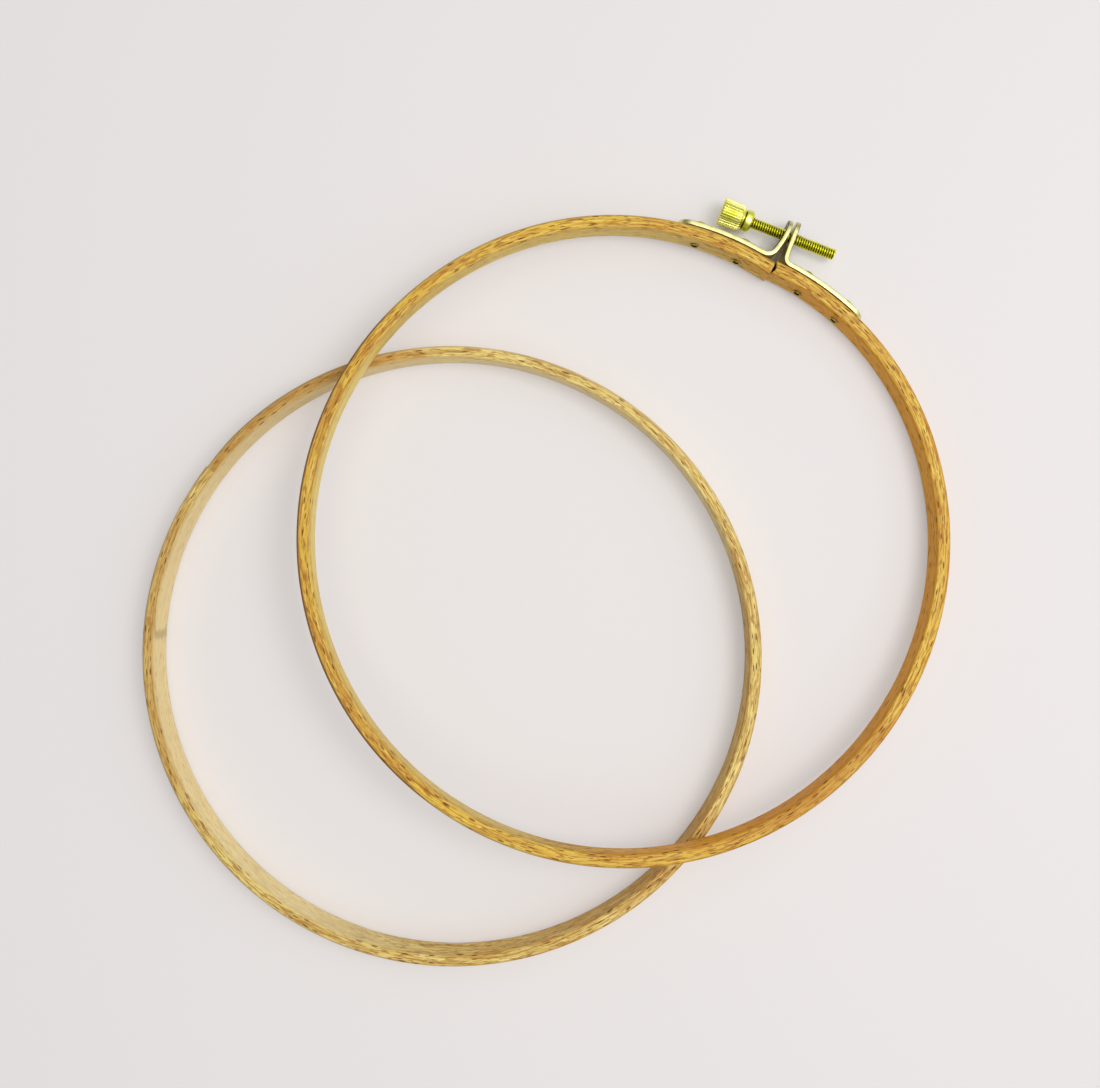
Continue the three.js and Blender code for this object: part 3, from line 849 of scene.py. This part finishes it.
@dataclass
class OuterRing:
    """The sawn ring: the section swept along the middle line, with both end faces worked out."""

    line: OuterLine
    finish: bpy.types.Material
    rows: int = 600
    end_rows: tuple[float, ...] = (0.0, 0.4, 0.75, 0.94)  # of an end face, as parts of its bevel's inner row
    left_face: float = 0.03  # the left end's face, from the saw cut's middle
    gap_least: float = 0.05
    gap_bow: float = 0.72  # how far the right end's face is hollowed
    gap_lean: float = 1.35  # above 1 the hollow is deepest nearer the inner wall
    chamfer: float = 0.34  # of the left end's top edge; the right end's has a third of it
    worn: float = 0.035
    worn_seed: int = 23
    tan_seed: int = 5
    end_grain_and_shade: float = 2.0  # the sawn end grain's mark, against 1 on a rim: darker end grain with painted shade in the cut
    # The rim stretch, on the left outer edges that face away from the lamp, and the rest are painted shade; the
    # pale stretches are painted light on the walls, and the walls elsewhere take painted shade.
    wear: Wear = Wear(
        brown=(Stretch(284, 334, 1.0), Stretch(112, 156, 0.5), Stretch(184, 230, 0.5)),
        edge_shade=(Stretch(130, 240, 1.5),),
        edge_shade_rest=0.4,
        pale=(Stretch(44, 282, 0.85), Stretch(110, 220, 1.0)),
        yellow=-1.0,
        outer_yellow=0.5,
    )

    def gap(self, out: np.ndarray, up: np.ndarray) -> np.ndarray:
        """The width of the saw cut at a point of the section.

        The right end is hollowed by the bow times the sine of half a turn times w to the power of the lean,
        with w growing from the outer wall to the inner, and the cut opens towards the top.

        Args:
            out: place outwards from the section's middle.
            up: place upwards from it.

        Returns:
            The width in millimetres.
        """
        section = self.line.section
        w = np.clip(0.5 - out / section.thick, 0, 1)
        rise = 0.3 + 0.7 * np.clip(0.5 + up / section.height, 0, 1)
        return self.gap_least + self.gap_bow * np.sin(np.pi * w**self.gap_lean) * rise

    def lean_at(self, side: Side) -> float:
        """How far a sprung end's normal leans along the ring; taken off, it squares the face to the cut."""
        across = compass(np.array(self.line.saw_deg + 90))
        return float(self.line.normal(np.array(self.line.saw_deg + side.value * 1e-3)) @ across)

    def bevel_share(self, outline: np.ndarray) -> np.ndarray:
        """How much of the bevel points have: all on the top, none below or at the inner wall.

        Args:
            outline: points of the section as (n, 2).

        Returns:
            One less the fifth power of the way across to the inner wall, times a smoothstep up the top half.
        """
        section = self.line.section
        w, rise = 0.5 - outline[:, 0] / section.thick, 0.5 + outline[:, 1] / section.height
        return (1 - w**5) * smooth(2 * rise - 1)

    def build(self) -> bpy.types.Object:
        """Sweeps the section from the left end's face round to the right end's.

        Each end face is the outline drawn in towards its middle in a few rows, the first two of them the
        chamfer. A row near an end follows that end's face, and rows further away stand square to the line.

        Returns:
            The ring.
        """
        line, section = self.line, self.line.section
        outline, rim = section.outline()
        shrink = 1 - self.chamfer / (section.thick / 2)
        inner = [part * shrink for part in self.end_rows]
        scales = np.concatenate([inner, [shrink], np.ones(self.rows), [shrink], inner[::-1]])[:, None]
        cap = len(inner) + 1
        row = np.arange(len(scales))[:, None]
        is_left, is_right = row < cap, row >= len(scales) - cap
        middle_radius = line.radius_out - section.thick / 2
        travel = np.concatenate([np.zeros(cap), self.run(), np.full(cap, 1.0)])[:, None]
        squeeze = np.where(scales > shrink - 1e-9, section.thick / section.height, 1)
        out = outline[:, 0] * scales
        up = outline[:, 1] * (1 - (1 - scales) * squeeze)
        bevel = self.chamfer * self.bevel_share(outline)
        start = self.left_face + np.where(is_left, 0, bevel) - out * self.lean_at(Side.LEFT)
        end = self.left_face - self.gap(out, up) - np.where(is_right, 0, bevel / 3)
        end = end - out * self.lean_at(Side.RIGHT)
        along = start + (2 * np.pi * middle_radius + end - start) * travel
        deg = line.saw_deg + np.degrees(along / middle_radius)
        centre_deg = np.clip(deg, line.saw_deg + 1e-3, line.saw_deg + 360 - 1e-3)
        normal = line.normal(centre_deg)
        tangent = np.stack([-normal[..., 1], normal[..., 0]], -1)
        past = np.radians(deg - centre_deg) * middle_radius
        worn_out = out - sanded_off(along, len(outline), self.worn, self.worn_seed) * np.sign(out)
        flat = line.middle(centre_deg) + normal * worn_out[..., None] + tangent * past[..., None]
        points = np.concatenate([flat, (section.height / 2 + up)[..., None]], -1).reshape(-1, 3)
        is_end = (is_left | is_right) & (scales < shrink)
        rim = self.wear.rim_shading(deg, outline[:, 0], rim)
        # The sawn end faces take the end grain's mark: darker end grain with painted shade in the narrow cut.
        rim = np.where(is_end, self.end_grain_and_shade, rim * ~(is_left | is_right))
        wall = self.wear.walls(deg, outline[:, 0], section.wall_share(outline[:, 0]))
        # On the ends, the faces lose the wall's paleness and the chamfer row takes all of it: a painted
        # highlight along the top edges.
        wall = np.where(is_left | is_right, 1.0 * ~is_end, wall)
        slow = 0.3 + 0.3 * waviness(along / 3, 0 * along, self.tan_seed)
        tan = np.maximum(stretch_share(deg, self.wear.brown), slow)
        fields = wood_fields(along, section.thick / 2 - out, up, rim, wall, tan)
        faces = grid_faces(len(scales), len(outline))
        piece = new_piece("outer_ring_beech", line.place(points), faces, self.finish, fields, SHARP_WOOD)
        self.bend_at_the_cut(piece)
        return stand_for(piece, "outer_ring")

    def run(self) -> np.ndarray:
        """Spaces the rows out, close together next to the two ends.

        Returns:
            Each row's share of the way round.
        """
        close = np.array([0.0, 0.0004, 0.0012])
        inside = np.linspace(0.003, 0.997, self.rows - 2 * len(close))
        return np.concatenate([close, inside, 1 - close[::-1]])

    def bend_at_the_cut(self, piece: bpy.types.Object) -> None:
        """Works out two points just either side of the saw cut, which nothing uses, and bakes the ring's place
        into its mesh.

        Args:
            piece: the ring.
        """
        across = compass(np.array(self.line.saw_deg + 90))
        near, far = self.left_face - 0.01, self.left_face - self.gap_least + 0.02
        spots = self.line.place(np.array([[*(across * near), 0], [*(across * far), 0]]))
        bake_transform(piece)


# Clamp


@dataclass(frozen=True)
class PlateSide:
    """What differs between the two clamp plates: lengths in millimetres, leans from the cut's direction."""

    side: Side
    body: str
    corner: float  # where wall and ear would meet, from the saw cut
    foot_lean: float  # of the ear where it leaves the bend
    end_lean: float
    reach: float  # of the strip along the wall, from the saw cut
    rivets: tuple[float, float]  # their places, from the saw cut
    hole: float  # its radius
    bend: float  # its radius, at the middle of the sheet

    @property
    def name(self) -> str:
        """The plate's name."""
        return self.side.name.lower()


@dataclass
class ClampPlate:
    """A strip of plated sheet with round ends, which lies along the wall and bends out into an ear."""

    line: OuterLine
    shape: PlateSide
    finish: bpy.types.Material
    thick: float = 1.15
    width: float = 5.99
    gap: float = 0.05  # between the sheet and the wood
    ear: float = 11.1  # length of the ear from where it would meet the wall
    rim: float = 0.2  # rounding of the sheet's edge
    plate_edge_shade: float = 0.85  # painted shade: how dark that rounding's middle is
    shaded_tip: float = 1.0  # length of the ear's end that takes painted shade
    rows: int = 150  # points along each straight side
    end_points: int = 24  # round each end
    path_points: tuple[int, int, int] = (60, 25, 40)  # along the wall, round the bend, on the ear

    def path(self) -> tuple[np.ndarray, np.ndarray]:
        """The strip's middle line from its end on the ring to the ear's end.

        Along the wall it keeps one distance from the wood, then it turns on the bend's radius and runs on
        with a direction that changes evenly from the foot's lean to the end's.

        Returns:
            Points as (n, 2), and their distance along the line.
        """
        line, shape = self.line, self.shape
        lift = self.gap + self.thick / 2
        turn = shape.side.value
        corner_deg = line.at(shape.side, shape.corner)
        corner, normal = line.off_wall(corner_deg, lift), line.normal(corner_deg)
        along = np.array([normal[1], -normal[0]]) * turn
        foot = compass(np.array(line.saw_deg + shape.foot_lean))
        angle = math.acos(float(along @ foot))
        cut_back = shape.bend * math.tan(angle / 2)
        tip, bend_deg = (line.at(shape.side, distance) for distance in (shape.reach, shape.corner + cut_back))
        on_wall, on_bend, on_ear = self.path_points
        wall = line.off_wall(np.linspace(tip, bend_deg, on_wall, endpoint=False), lift)
        inward = np.array([-along[1], along[0]]) * turn
        hub = corner - along * cut_back + inward * shape.bend
        swing = turn * angle * np.linspace(0, 1, on_bend)[:, None]
        spoke = -inward * shape.bend
        across = np.array([-spoke[1], spoke[0]])
        bend = hub + spoke * np.cos(swing) + across * np.sin(swing)
        share = (np.arange(on_ear) + 0.5) / on_ear
        lean = shape.foot_lean + share * (shape.end_lean - shape.foot_lean)
        ear = bend[-1] + np.cumsum(compass(line.saw_deg + lean) * (self.ear - cut_back) / on_ear, 0)
        points = np.concatenate([wall, bend, ear])
        distance = np.concatenate([[0], np.cumsum(np.linalg.norm(np.diff(points, axis=0), axis=1))])
        return points, distance

    def build(self) -> bpy.types.Object:
        """Lays concentric outlines of a flat strip with half-round ends along the path.

        A row of the grid is one outline at a depth inside the rim and a height above the strip's middle:
        from the middle line of the front face out to the rim, round it and back to the middle of the back.

        Returns:
            The plate, without the screw's hole.
        """
        points, distance = self.path()
        half, length = self.width / 2, distance[-1]
        face = np.array([1.0, 0.75, 0.45, 0.2]) * half
        angle = np.radians(np.linspace(0, 90, 6))
        depth = np.concatenate([face, self.rim * (1 - np.sin(angle))])
        height = self.thick / 2 - np.concatenate([0 * face, self.rim * (1 - np.cos(angle))])
        depth = np.concatenate([depth, depth[::-1]])
        height = np.concatenate([height, -height[::-1]])
        run = np.linspace(half, length - half, self.rows)
        arc = np.radians(np.linspace(90, -90, self.end_points + 2))[1:-1]
        flat = np.zeros(self.rows)
        centre = np.concatenate([run, flat[: len(arc)] + length - half, run[::-1], flat[: len(arc)] + half])
        way = np.concatenate([flat, np.cos(arc), flat, -np.cos(arc)])
        side = np.concatenate([flat + 1, np.sin(arc), flat - 1, -np.sin(arc)])
        inset = (half - depth)[:, None]
        along, up = centre + inset * way, inset * side
        slope = np.gradient(points, distance, axis=0)
        spot, tangent = (
            np.stack([np.interp(along, distance, part) for part in values.T], -1)
            for values in (points, slope)
        )
        tangent /= np.linalg.norm(tangent, axis=-1, keepdims=True)
        normal = np.stack([tangent[..., 1], -tangent[..., 0]], -1)
        plan = spot + normal * height[:, None, None]
        level = self.line.section.height / 2 + up
        grid = np.concatenate([plan, level[..., None]], -1).reshape(-1, 3)
        # Painted shade along the sheet's rounded edges, on the ear's face towards the other ear and at its end.
        painted_edge = self.plate_edge_shade * np.sin(np.pi * np.clip(depth / self.rim, 0, 1))[:, None] ** 2
        fields = {SHADE_MARK: np.maximum(self.painted_shade(along, height, length), painted_edge).ravel()}
        faces = grid_faces(len(depth), len(centre))
        name, spots = f"{self.shape.name}_clamp_plate", self.line.place(grid)
        return new_piece(name, spots, faces, self.finish, fields, SHARP_BRASS)

    def painted_shade(self, along: np.ndarray, height: np.ndarray, length: float) -> np.ndarray:
        """Painted shade on the plating: on the ear's face towards the other ear, and at its end.

        Args:
            along: place along the plate's line of every point.
            height: place through the thickness of every row.
            length: the line's whole length.

        Returns:
            Shares from 0 to 1, of the shape of along.
        """
        left = length - along
        facing = smooth(-self.shape.side.value * height / (self.thick / 2) * 2 - 1)[:, None]
        on_ear = smooth((self.ear - 0.5 - left) / 2)
        end = 0.4 * smooth((self.shaded_tip - left) / self.shaded_tip)
        return np.clip(facing * on_ear + end, 0, 1)


@dataclass
class Rivet:
    """A tubular rivet: a domed head on the plate and a flared, hollow end on the ring's inner wall."""

    line: OuterLine
    finish: bpy.types.Material
    head_radius: float = 1.75
    head_height: float = 1.15
    shank_radius: float = 1.0
    lip_radius: float = 1.14
    lip_height: float = 0.36
    bore_radius: float = 0.76
    bore_depth: float = 2.6
    gap: float = 0.05  # under the head and under the lip
    plate_gap: float = 0.05
    plate_thick: float = 1.15
    painted_shade: tuple[float, float, float] = (1.0, 0.4, 0.9)  # painted shade: in the bore, on the lip and at the head's foot
    segments: int = 40

    def profile(self) -> np.ndarray:
        """Draws the rivet cut in half, from the head's top to the bore's floor.

        The dome and the rolled lip are arcs: half a width times a cosine outwards, and a height times a sine.

        Returns:
            Radius and place along the axis, as (n, 2).
        """
        head = self.plate_gap + self.plate_thick + self.gap
        lip = -self.line.section.thick - self.gap
        dome = np.radians(np.linspace(90, 8, 12))
        crown = np.stack([self.head_radius * np.cos(dome), head + self.head_height * np.sin(dome)], -1)
        crown[0, 0] = 0
        rim = np.array([[self.head_radius, head + 0.03], [self.head_radius - 0.06, head]])
        shank = np.array([[self.shank_radius, head - 0.02], [self.shank_radius, lip + 0.02]])
        middle, half = (self.lip_radius + self.bore_radius) / 2, (self.lip_radius - self.bore_radius) / 2
        roll = np.radians(np.linspace(0, 180, 10))
        crest = lip - self.lip_height * (0.45 + 0.55 * np.sin(roll))
        flare = np.stack([middle + half * np.cos(roll), crest], -1)
        floor = lip - self.lip_height + self.bore_depth
        bore = np.array([[self.bore_radius, lip], [self.bore_radius, floor], [0, floor]])
        return np.concatenate([crown, rim, shank, [[self.lip_radius - 0.08, lip]], flare, bore])

    def build(self, node: str, deg: float, body: str) -> bpy.types.Object:
        """Turns the profile about the wall's normal.

        Args:
            node: the node that it stands for.
            deg: its angle on the ring.
            body: the body that it rides on.

        Returns:
            The rivet.
        """
        profile = self.profile()
        foot, normal = self.line.off_wall(np.array(deg), 0.0), self.line.normal(np.array(deg))
        points = self.line.turned(profile, self.segments, foot, normal)
        radius, place = profile.T
        # Painted shade in the bore, on the lip and round the head's foot.
        in_bore = (radius < self.bore_radius + 0.02) & (place < 0)
        on_lip = place < -self.line.section.thick
        at_foot = (place > 0) & (radius > self.head_radius * 0.96)
        root = np.max([share * spot for share, spot in zip(self.painted_shade, (in_bore, on_lip, at_foot))], 0)
        faces = grid_faces(len(profile), self.segments)
        fields = {SHADE_MARK: np.repeat(root, self.segments)}
        piece = new_piece(f"{node}_brass", points, faces, self.finish, fields)
        return stand_for(piece, node, body)


@dataclass
class ThumbScrew:
    """The turned brass screw: a rod with a cut thread, and a knurled knob with a neck and a smooth collar."""

    line: OuterLine
    finish: bpy.types.Material
    knob_finish: bpy.types.Material
    lean_deg: float = 7.6  # of the axis from the tangent at the saw cut
    above: float = 7.75  # of the axis from the wall
    knob_start: float = -16.75  # along the axis, from over the saw cut
    grip: float = 5.85  # lengths along it from there
    neck: float = 0.35
    collar: float = 1.9
    tip: float = 13.0  # the rod's end, from over the saw cut
    in_knob: float = 4.5  # how deep the rod goes into the knob
    thread_radius: float = 1.5
    pitch: float = 0.6
    thread_depth: float = 0.4
    rod_chamfer: float = 0.35
    grip_radius: tuple[float, float] = (3.3, 3.1)  # at the free end and at the shoulder
    end_bevel: float = 0.35
    shoulder: float = 0.8
    slope: float = 0.85  # of the shoulder's cone: how far in for how far along
    neck_radius: float = 2.2
    collar_radius: float = 2.7
    collar_bevel: float = 0.9
    flutes: int = 30
    flute_depth: float = 0.24
    per_flute: int = 12  # points round each flute
    steps: int = 24  # of the thread: rows to a pitch and points to a turn

    def axis(self) -> tuple[np.ndarray, np.ndarray]:
        """Finds the screw's axis.

        Returns:
            The point over the saw cut and the axis's direction, in plan.
        """
        over = compass(np.array(self.line.saw_deg + self.lean_deg))
        way = compass(np.array(self.line.saw_deg + self.lean_deg - 90))
        dip = (self.line.left_dip[0] + self.line.right_dip[0]) / 2
        wall = compass(np.array(self.line.saw_deg)) * (self.line.radius_out - dip)
        return wall + over * self.above, way

    def build_rod(self) -> bpy.types.Object:
        """Cuts the thread as one helix.

        The radius is the thread's outer one less the depth times a triangle wave, flat at crest and root, of
        the place along the axis, in pitches, less the turn. Rows to a pitch and points to a turn are the same
        number, so crests and roots run along the cuts of the quads into triangles.

        Returns:
            The rod.
        """
        start = self.knob_start + self.grip + self.neck + self.collar - self.in_knob
        length = self.tip - start
        count = round(length / self.pitch * self.steps) + 1
        place = np.linspace(0, length, count)[:, None]
        turn = np.arange(self.steps) / self.steps
        phase = (place / self.pitch - turn) % 1
        crest = np.clip(np.abs(2 * phase - 1) * 1.2 - 0.1, 0, 1)
        bevel = self.thread_radius - self.rod_chamfer + np.minimum(place, length - place)
        radius = np.minimum(self.thread_radius - self.thread_depth * (1 - crest), bevel)
        rows = np.stack([radius, start + place + 0 * turn], -1)
        ends = np.repeat(np.array([[0.0, start], [0.0, self.tip]])[:, None], self.steps, 1)
        rows = np.concatenate([ends[:1], rows, ends[1:]])
        # Painted shade in the thread's valleys.
        root = np.concatenate([[0 * turn], 1 - crest, [0 * turn]]).ravel() ** 2
        faces = split_quads(grid_faces(len(rows), self.steps))
        points = self.line.turned(rows, self.steps, *self.axis())
        piece = new_piece("threaded_rod_brass", points, faces, self.finish, {SHADE_MARK: root}, SHARP_THREAD)
        return stand_for(piece, "threaded_rod", "screw_rod")

    def build_knob(self) -> bpy.types.Object:
        """Turns the knob and cuts straight flutes along its grip.

        On the grip the radius is lowered by the flute depth times a wave of the turn, 0.45 and 0.75 times a
        cosine, held between 0 and 1. The flutes run out through both bevels, where the turned cone is lower
        than their floor. The free end is turned a little hollow, and the collar has a recess round the rod.

        Returns:
            The knob.
        """
        segments = self.flutes * self.per_flute
        turn = np.arange(segments) / self.per_flute
        wave = np.clip(0.45 + 0.75 * np.cos(2 * np.pi * turn), 0, 1)
        free, last = self.grip_radius
        collar_start = self.grip + self.neck
        end = collar_start + self.collar
        shoulder_start = self.grip - self.shoulder
        places = [
            np.linspace(0, self.end_bevel, 5),
            np.linspace(self.end_bevel, shoulder_start, 24)[1:],
            np.linspace(shoulder_start, self.grip, 9)[1:],
        ]
        place = np.concatenate(places)[:, None]  # along the grip: its end bevel, its length and its shoulder
        body = free + (last - free) * place / self.grip
        fluted = body - self.flute_depth * wave
        at_end = free - self.end_bevel + place
        at_shoulder = last - self.shoulder * self.slope + self.slope * (self.grip - place)
        cone = np.minimum(at_end, at_shoulder)
        grip = np.stack([np.minimum(cone, fluted), place + 0 * turn], -1)
        bevel = self.collar_bevel * (1 - compass(np.linspace(0, 90, 8)))
        edge = np.array([self.collar_radius, end]) - bevel
        mouth, floor, recess_depth = 1.62, 1.55, 0.25  # the recess's two radii and its depth
        rest = np.concatenate(
            [
                [[self.neck_radius, self.grip + 0.03], [self.neck_radius, collar_start - 0.03]],
                [[self.collar_radius - 0.2, collar_start], [self.collar_radius, collar_start + 0.2]],
                edge,
                [[mouth, end], [floor, end - recess_depth], [0, end - recess_depth]],
            ]
        )
        face = np.array([[0, 0.12], [1.2, 0.12], [2.2, 0.05], [free - self.end_bevel - 0.3, 0.0]])
        around = partial(np.repeat, repeats=segments, axis=1)
        rows = np.concatenate([around(face[:, None]), grip, around(rest[:, None])])
        # Painted shade in the flutes, deeper towards both bevels, and in the neck.
        in_flute = np.clip((cone - fluted) / self.flute_depth, 0, 1) * wave
        in_neck = (rest[:, 0] < self.neck_radius + 0.01) & (rest[:, 1] < end - 0.5)
        at_edge = smooth(1 - place / (2 * self.end_bevel)) + smooth((place - shoulder_start) / self.shoulder)
        in_flute = np.clip(in_flute * (0.5 + 0.5 * at_edge), 0, 1)
        root = [np.zeros((len(face), segments)), in_flute, around(in_neck[:, None])]
        rows[..., 1] += self.knob_start
        points = self.line.turned(rows, segments, *self.axis())
        faces, fields = grid_faces(len(rows), segments), {SHADE_MARK: np.concatenate(root).ravel()}
        piece = new_piece("screw_knob_brass", points, faces, self.knob_finish, fields, SHARP_BRASS)
        return stand_for(piece, "screw_knob", "screw_grip")


@dataclass
class Clamp:
    """Both plates with their rivets, and the screw through the ears."""

    line: OuterLine
    plate_finish: bpy.types.Material
    rivet_finish: bpy.types.Material
    screw_finish: bpy.types.Material
    knob_finish: bpy.types.Material
    left: PlateSide = PlateSide(
        side=Side.LEFT,
        body="outer_ring_body",
        corner=2.15,
        foot_lean=-12.0,
        end_lean=11.5,
        reach=26.0,
        rivets=(20.7, 9.0),
        hole=2.25,
        bend=2.4,
    )
    right: PlateSide = PlateSide(
        side=Side.RIGHT,
        body="right_clamp",
        corner=2.05,
        foot_lean=10.0,
        end_lean=3.5,
        reach=25.4,
        rivets=(8.75, 20.65),
        hole=1.62,
        bend=1.6,
    )

    def build(self) -> list[bpy.types.Object]:
        """Makes the clamp's pieces.

        Returns:
            The plates, rivets, rod and knob.
        """
        screw = ThumbScrew(self.line, self.screw_finish, self.knob_finish)
        made = [screw.build_rod(), screw.build_knob()]
        for shape in (self.left, self.right):
            plate = ClampPlate(self.line, shape, self.plate_finish).build()
            self.drill(plate, screw, shape.hole)
            made.append(stand_for(plate, f"{shape.name}_flange", shape.body))
            for k, distance in enumerate(shape.rivets, 1):
                deg = float(self.line.at(shape.side, distance))
                rivet = Rivet(self.line, self.rivet_finish)
                made.append(rivet.build(f"{shape.name}_rivet_{k}", deg, shape.body))
        return made

    def drill(self, plate: bpy.types.Object, screw: ThumbScrew, radius: float) -> None:
        """Cuts the screw's hole through a plate's ear.

        Args:
            plate: the plate.
            screw: gives the axis.
            radius: the hole's radius in millimetres.
        """
        back, front, segments = -5, 6, 64  # the drill reaches past both ears
        profile = np.array([[0, back], [radius, back], [radius, front], [0, front]], float)
        points = self.line.turned(profile, segments, *screw.axis())
        drill = new_piece("drill", points, grid_faces(len(profile), segments), self.plate_finish)
        cut = plate.modifiers.new("hole", "BOOLEAN")
        cut.operation, cut.solver, cut.object = "DIFFERENCE", "EXACT", drill
        bpy.context.view_layer.update()
        shown = plate.evaluated_get(bpy.context.evaluated_depsgraph_get())
        drilled = bpy.data.meshes.new_from_object(shown)
        plate.modifiers.clear()
        plate.data = drilled
        drilled.set_sharp_from_angle(angle=math.radians(SHARP_BRASS))
        bpy.data.objects.remove(drill)


# Studio


@dataclass
class Studio:
    """A pale board, a soft light near on the right, a soft bright sky, and the photograph's camera."""

    board: bpy.types.Material
    reach: float = 3.0  # metres from the middle to the board's edge
    camera_place: tuple[float, float, float] = (33.0944, 31.1543, 274.844)  # mm from the inner ring's middle
    right: tuple[float, float, float] = (0.99952, 0.0, -0.03107)  # the camera's own three directions
    up: tuple[float, float, float] = (-0.00041, 0.99991, -0.01310)
    back: tuple[float, float, float] = (0.03107, 0.01311, 0.99943)
    lens: float = 36.0  # and the sensor's width, in millimetres
    shift_x: float = -1 / 1100  # the photograph's middle is one pixel off the lens's axis
    lamp_place: tuple[float, float, float] = (0.28, 0.04, 0.54)  # metres, as is its size
    lamp_size: float = 0.32
    lamp_watts: float = 1.3
    sky_way: tuple[float, float, float] = (0.515, 0.03, 0.857)  # the direction of its brightest part
    sky_edge: tuple[float, float] = (0.45, 0.8)  # cosines off the bright way where it is dim, and full
    sky_tint: tuple[float, float, float, float] = (1.0, 0.99, 0.985, 1.0)
    sky_low: float = 0.3  # its strength where it is dim
    sky_high: float = 0.74  # how much stronger it is where it is bright
    seen_sky: float = 0.84  # its strength to the camera itself

    def build(self) -> None:
        """Makes the board, the lights and the camera."""
        self.make_board()
        self.make_lamp()
        self.make_sky()
        self.make_camera()

    def make_board(self) -> None:
        """A wide flat sheet under the object."""
        mesh = bpy.data.meshes.new("board")
        r = self.reach
        mesh.from_pydata([(-r, -r, 0), (r, -r, 0), (r, r, 0), (-r, r, 0)], [], [(0, 1, 2, 3)])
        mesh.materials.append(self.board)
        board = bpy.data.objects.new("board", mesh)
        bpy.context.scene.collection.objects.link(board)
        board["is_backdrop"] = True

    def make_lamp(self) -> None:
        """The near soft light, whose shadows fall to the left and are short."""
        data = bpy.data.lights.new("soft_lamp", "AREA")
        data.shape, data.size, data.energy = "DISK", self.lamp_size, self.lamp_watts
        lamp = bpy.data.objects.new("soft_lamp", data)
        lamp.location = self.lamp_place
        lamp.rotation_mode = "QUATERNION"
        lamp.rotation_quaternion = (-Vector(self.lamp_place)).to_track_quat("-Z", "Y")
        bpy.context.scene.collection.objects.link(lamp)

    def make_sky(self) -> None:
        """The light of the room: bright round one direction above and to the right, and dim elsewhere."""
        world = bpy.data.worlds.new("pale_room")
        world.use_nodes = True
        world.node_tree.nodes.clear()
        node = partial(add_node, world.node_tree)
        way = node("TexCoord", output="Generated")
        toward = node("VectorMath", {0: way, 1: self.sky_way}, "Value", operation="DOT_PRODUCT")
        out, full = self.sky_edge
        dim, bright = self.sky_low, self.sky_low + self.sky_high
        shown = {"Value": toward, "From Min": out, "From Max": full, "To Min": dim, "To Max": bright}
        light = node("MapRange", shown, **SOFT)
        camera_ray = node("LightPath", output="Is Camera Ray")
        strength = node("Mix", {0: camera_ray, 2: light, 3: self.seen_sky}, data_type="FLOAT")
        node("OutputWorld", {"Surface": node("Background", {"Color": self.sky_tint, "Strength": strength})})
        bpy.context.scene.world = world

    def make_camera(self) -> None:
        """The photograph's view: nearly straight down, one image width away from a sheet one image wide."""
        low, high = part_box("inner_ring")
        middle = Vector(((low.x + high.x) / 2, (low.y + high.y) / 2, 0))
        data = bpy.data.cameras.new("photo_view")
        data.lens, data.sensor_width = self.lens, self.lens
        data.clip_start, data.clip_end = 0.01, 20.0
        data.shift_x = self.shift_x
        camera = bpy.data.objects.new("photo_view", data)
        turn = Matrix((self.right, self.up, self.back)).transposed().to_4x4()
        camera.matrix_world = Matrix.Translation(middle + Vector(self.camera_place) * MM) @ turn
        bpy.context.scene.collection.objects.link(camera)
        bpy.context.scene.camera = camera


INNER_BEECH = SandedBeech(
    name="beech_sanded_pale",
    pale="#ead27c",
    streaks=(
        Tint("#d9b662", 0.6),
        Tint("#f6e498", 0.75),
        Tint("#bd8a42", 0.5),
        Tint("#a06a2a", 0.66),
        Tint("#a8722e", 0.64),
    ),
    wall=Tint("#f2e2ae", 0.66),
    shade_amber=Tint("#d89c38", 0.8),
    tan=Tint("#b5803c", 0.6),
    rim=Tint("#8f6d30", 0.85),
    fleck="#663a12",
    fleck_lot=(0.3, 0.7),
    lap_run=44.0,
    lap_start=0.3,
    lap_thick=3.1,
)
OUTER_BEECH = SandedBeech(
    name="beech_sanded_golden",
    pale="#ecc850",
    streaks=(
        Tint("#d6a846", 0.7),
        Tint("#f4de72", 0.75),
        Tint("#bb7c30", 0.55),
        Tint("#9a5c20", 0.68),
        Tint("#a46522", 0.66),
    ),
    wall=Tint("#e6d280", 0.8),
    shade_amber=Tint("#eba42a", 0.7),
    tan=Tint("#b87830", 0.5),
    rim=Tint("#7e4f1c", 0.9),
    fleck="#6a3a10",
)
# Each brass: bright, dull and painted shade colour, roughness, size and share of the dull patches, depth of the
# marks
PLATE_BRASS = Brass("brass_plated_sheet", "#e4dea0", "#c4be6c", "#3a3408", 0.24, 1.6, 0.6, 0.01)
RIVET_BRASS = Brass("brass_tubular_dulled", "#dcd484", "#8c7a34", "#1a1406", 0.26, 0.9, 0.65, 0.006)
SCREW_BRASS = Brass("brass_thread_cut", "#fffe62", "#e6e240", "#463c06", 0.17, 2.2, 0.5, 0.003)
KNOB_BRASS = Brass("brass_knurled_bright", "#fffc98", "#e6e434", "#4c4408", 0.2, 2.2, 0.8, 0.003)


def main() -> None:
    """Builds the hoop in order: finishes, rings, clamp, then the studio round it."""
    logging.basicConfig(level=logging.INFO, format="%(name)s: %(message)s")
    bpy.context.scene.view_settings.view_transform = "Standard"
    cad_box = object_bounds()
    inner_wood, outer_wood = INNER_BEECH.build(), OUTER_BEECH.build()
    brasses = [brass.build() for brass in (PLATE_BRASS, RIVET_BRASS, SCREW_BRASS, KNOB_BRASS)]
    line = OuterLine()
    InnerRing(inner_wood).build()
    OuterRing(line, outer_wood).build()
    Clamp(line, *brasses).build()
    Studio(MattBoard().build()).build()
    sizes = {"cad": [list(corner) for corner in cad_box], "visual": [list(corner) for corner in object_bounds()]}
    for kind, corners in sizes.items():
        log.info("%s box in millimetres: %s", kind, np.round(np.array(corners) / MM, 3).tolist())


if __name__ == "__main__":
    main()
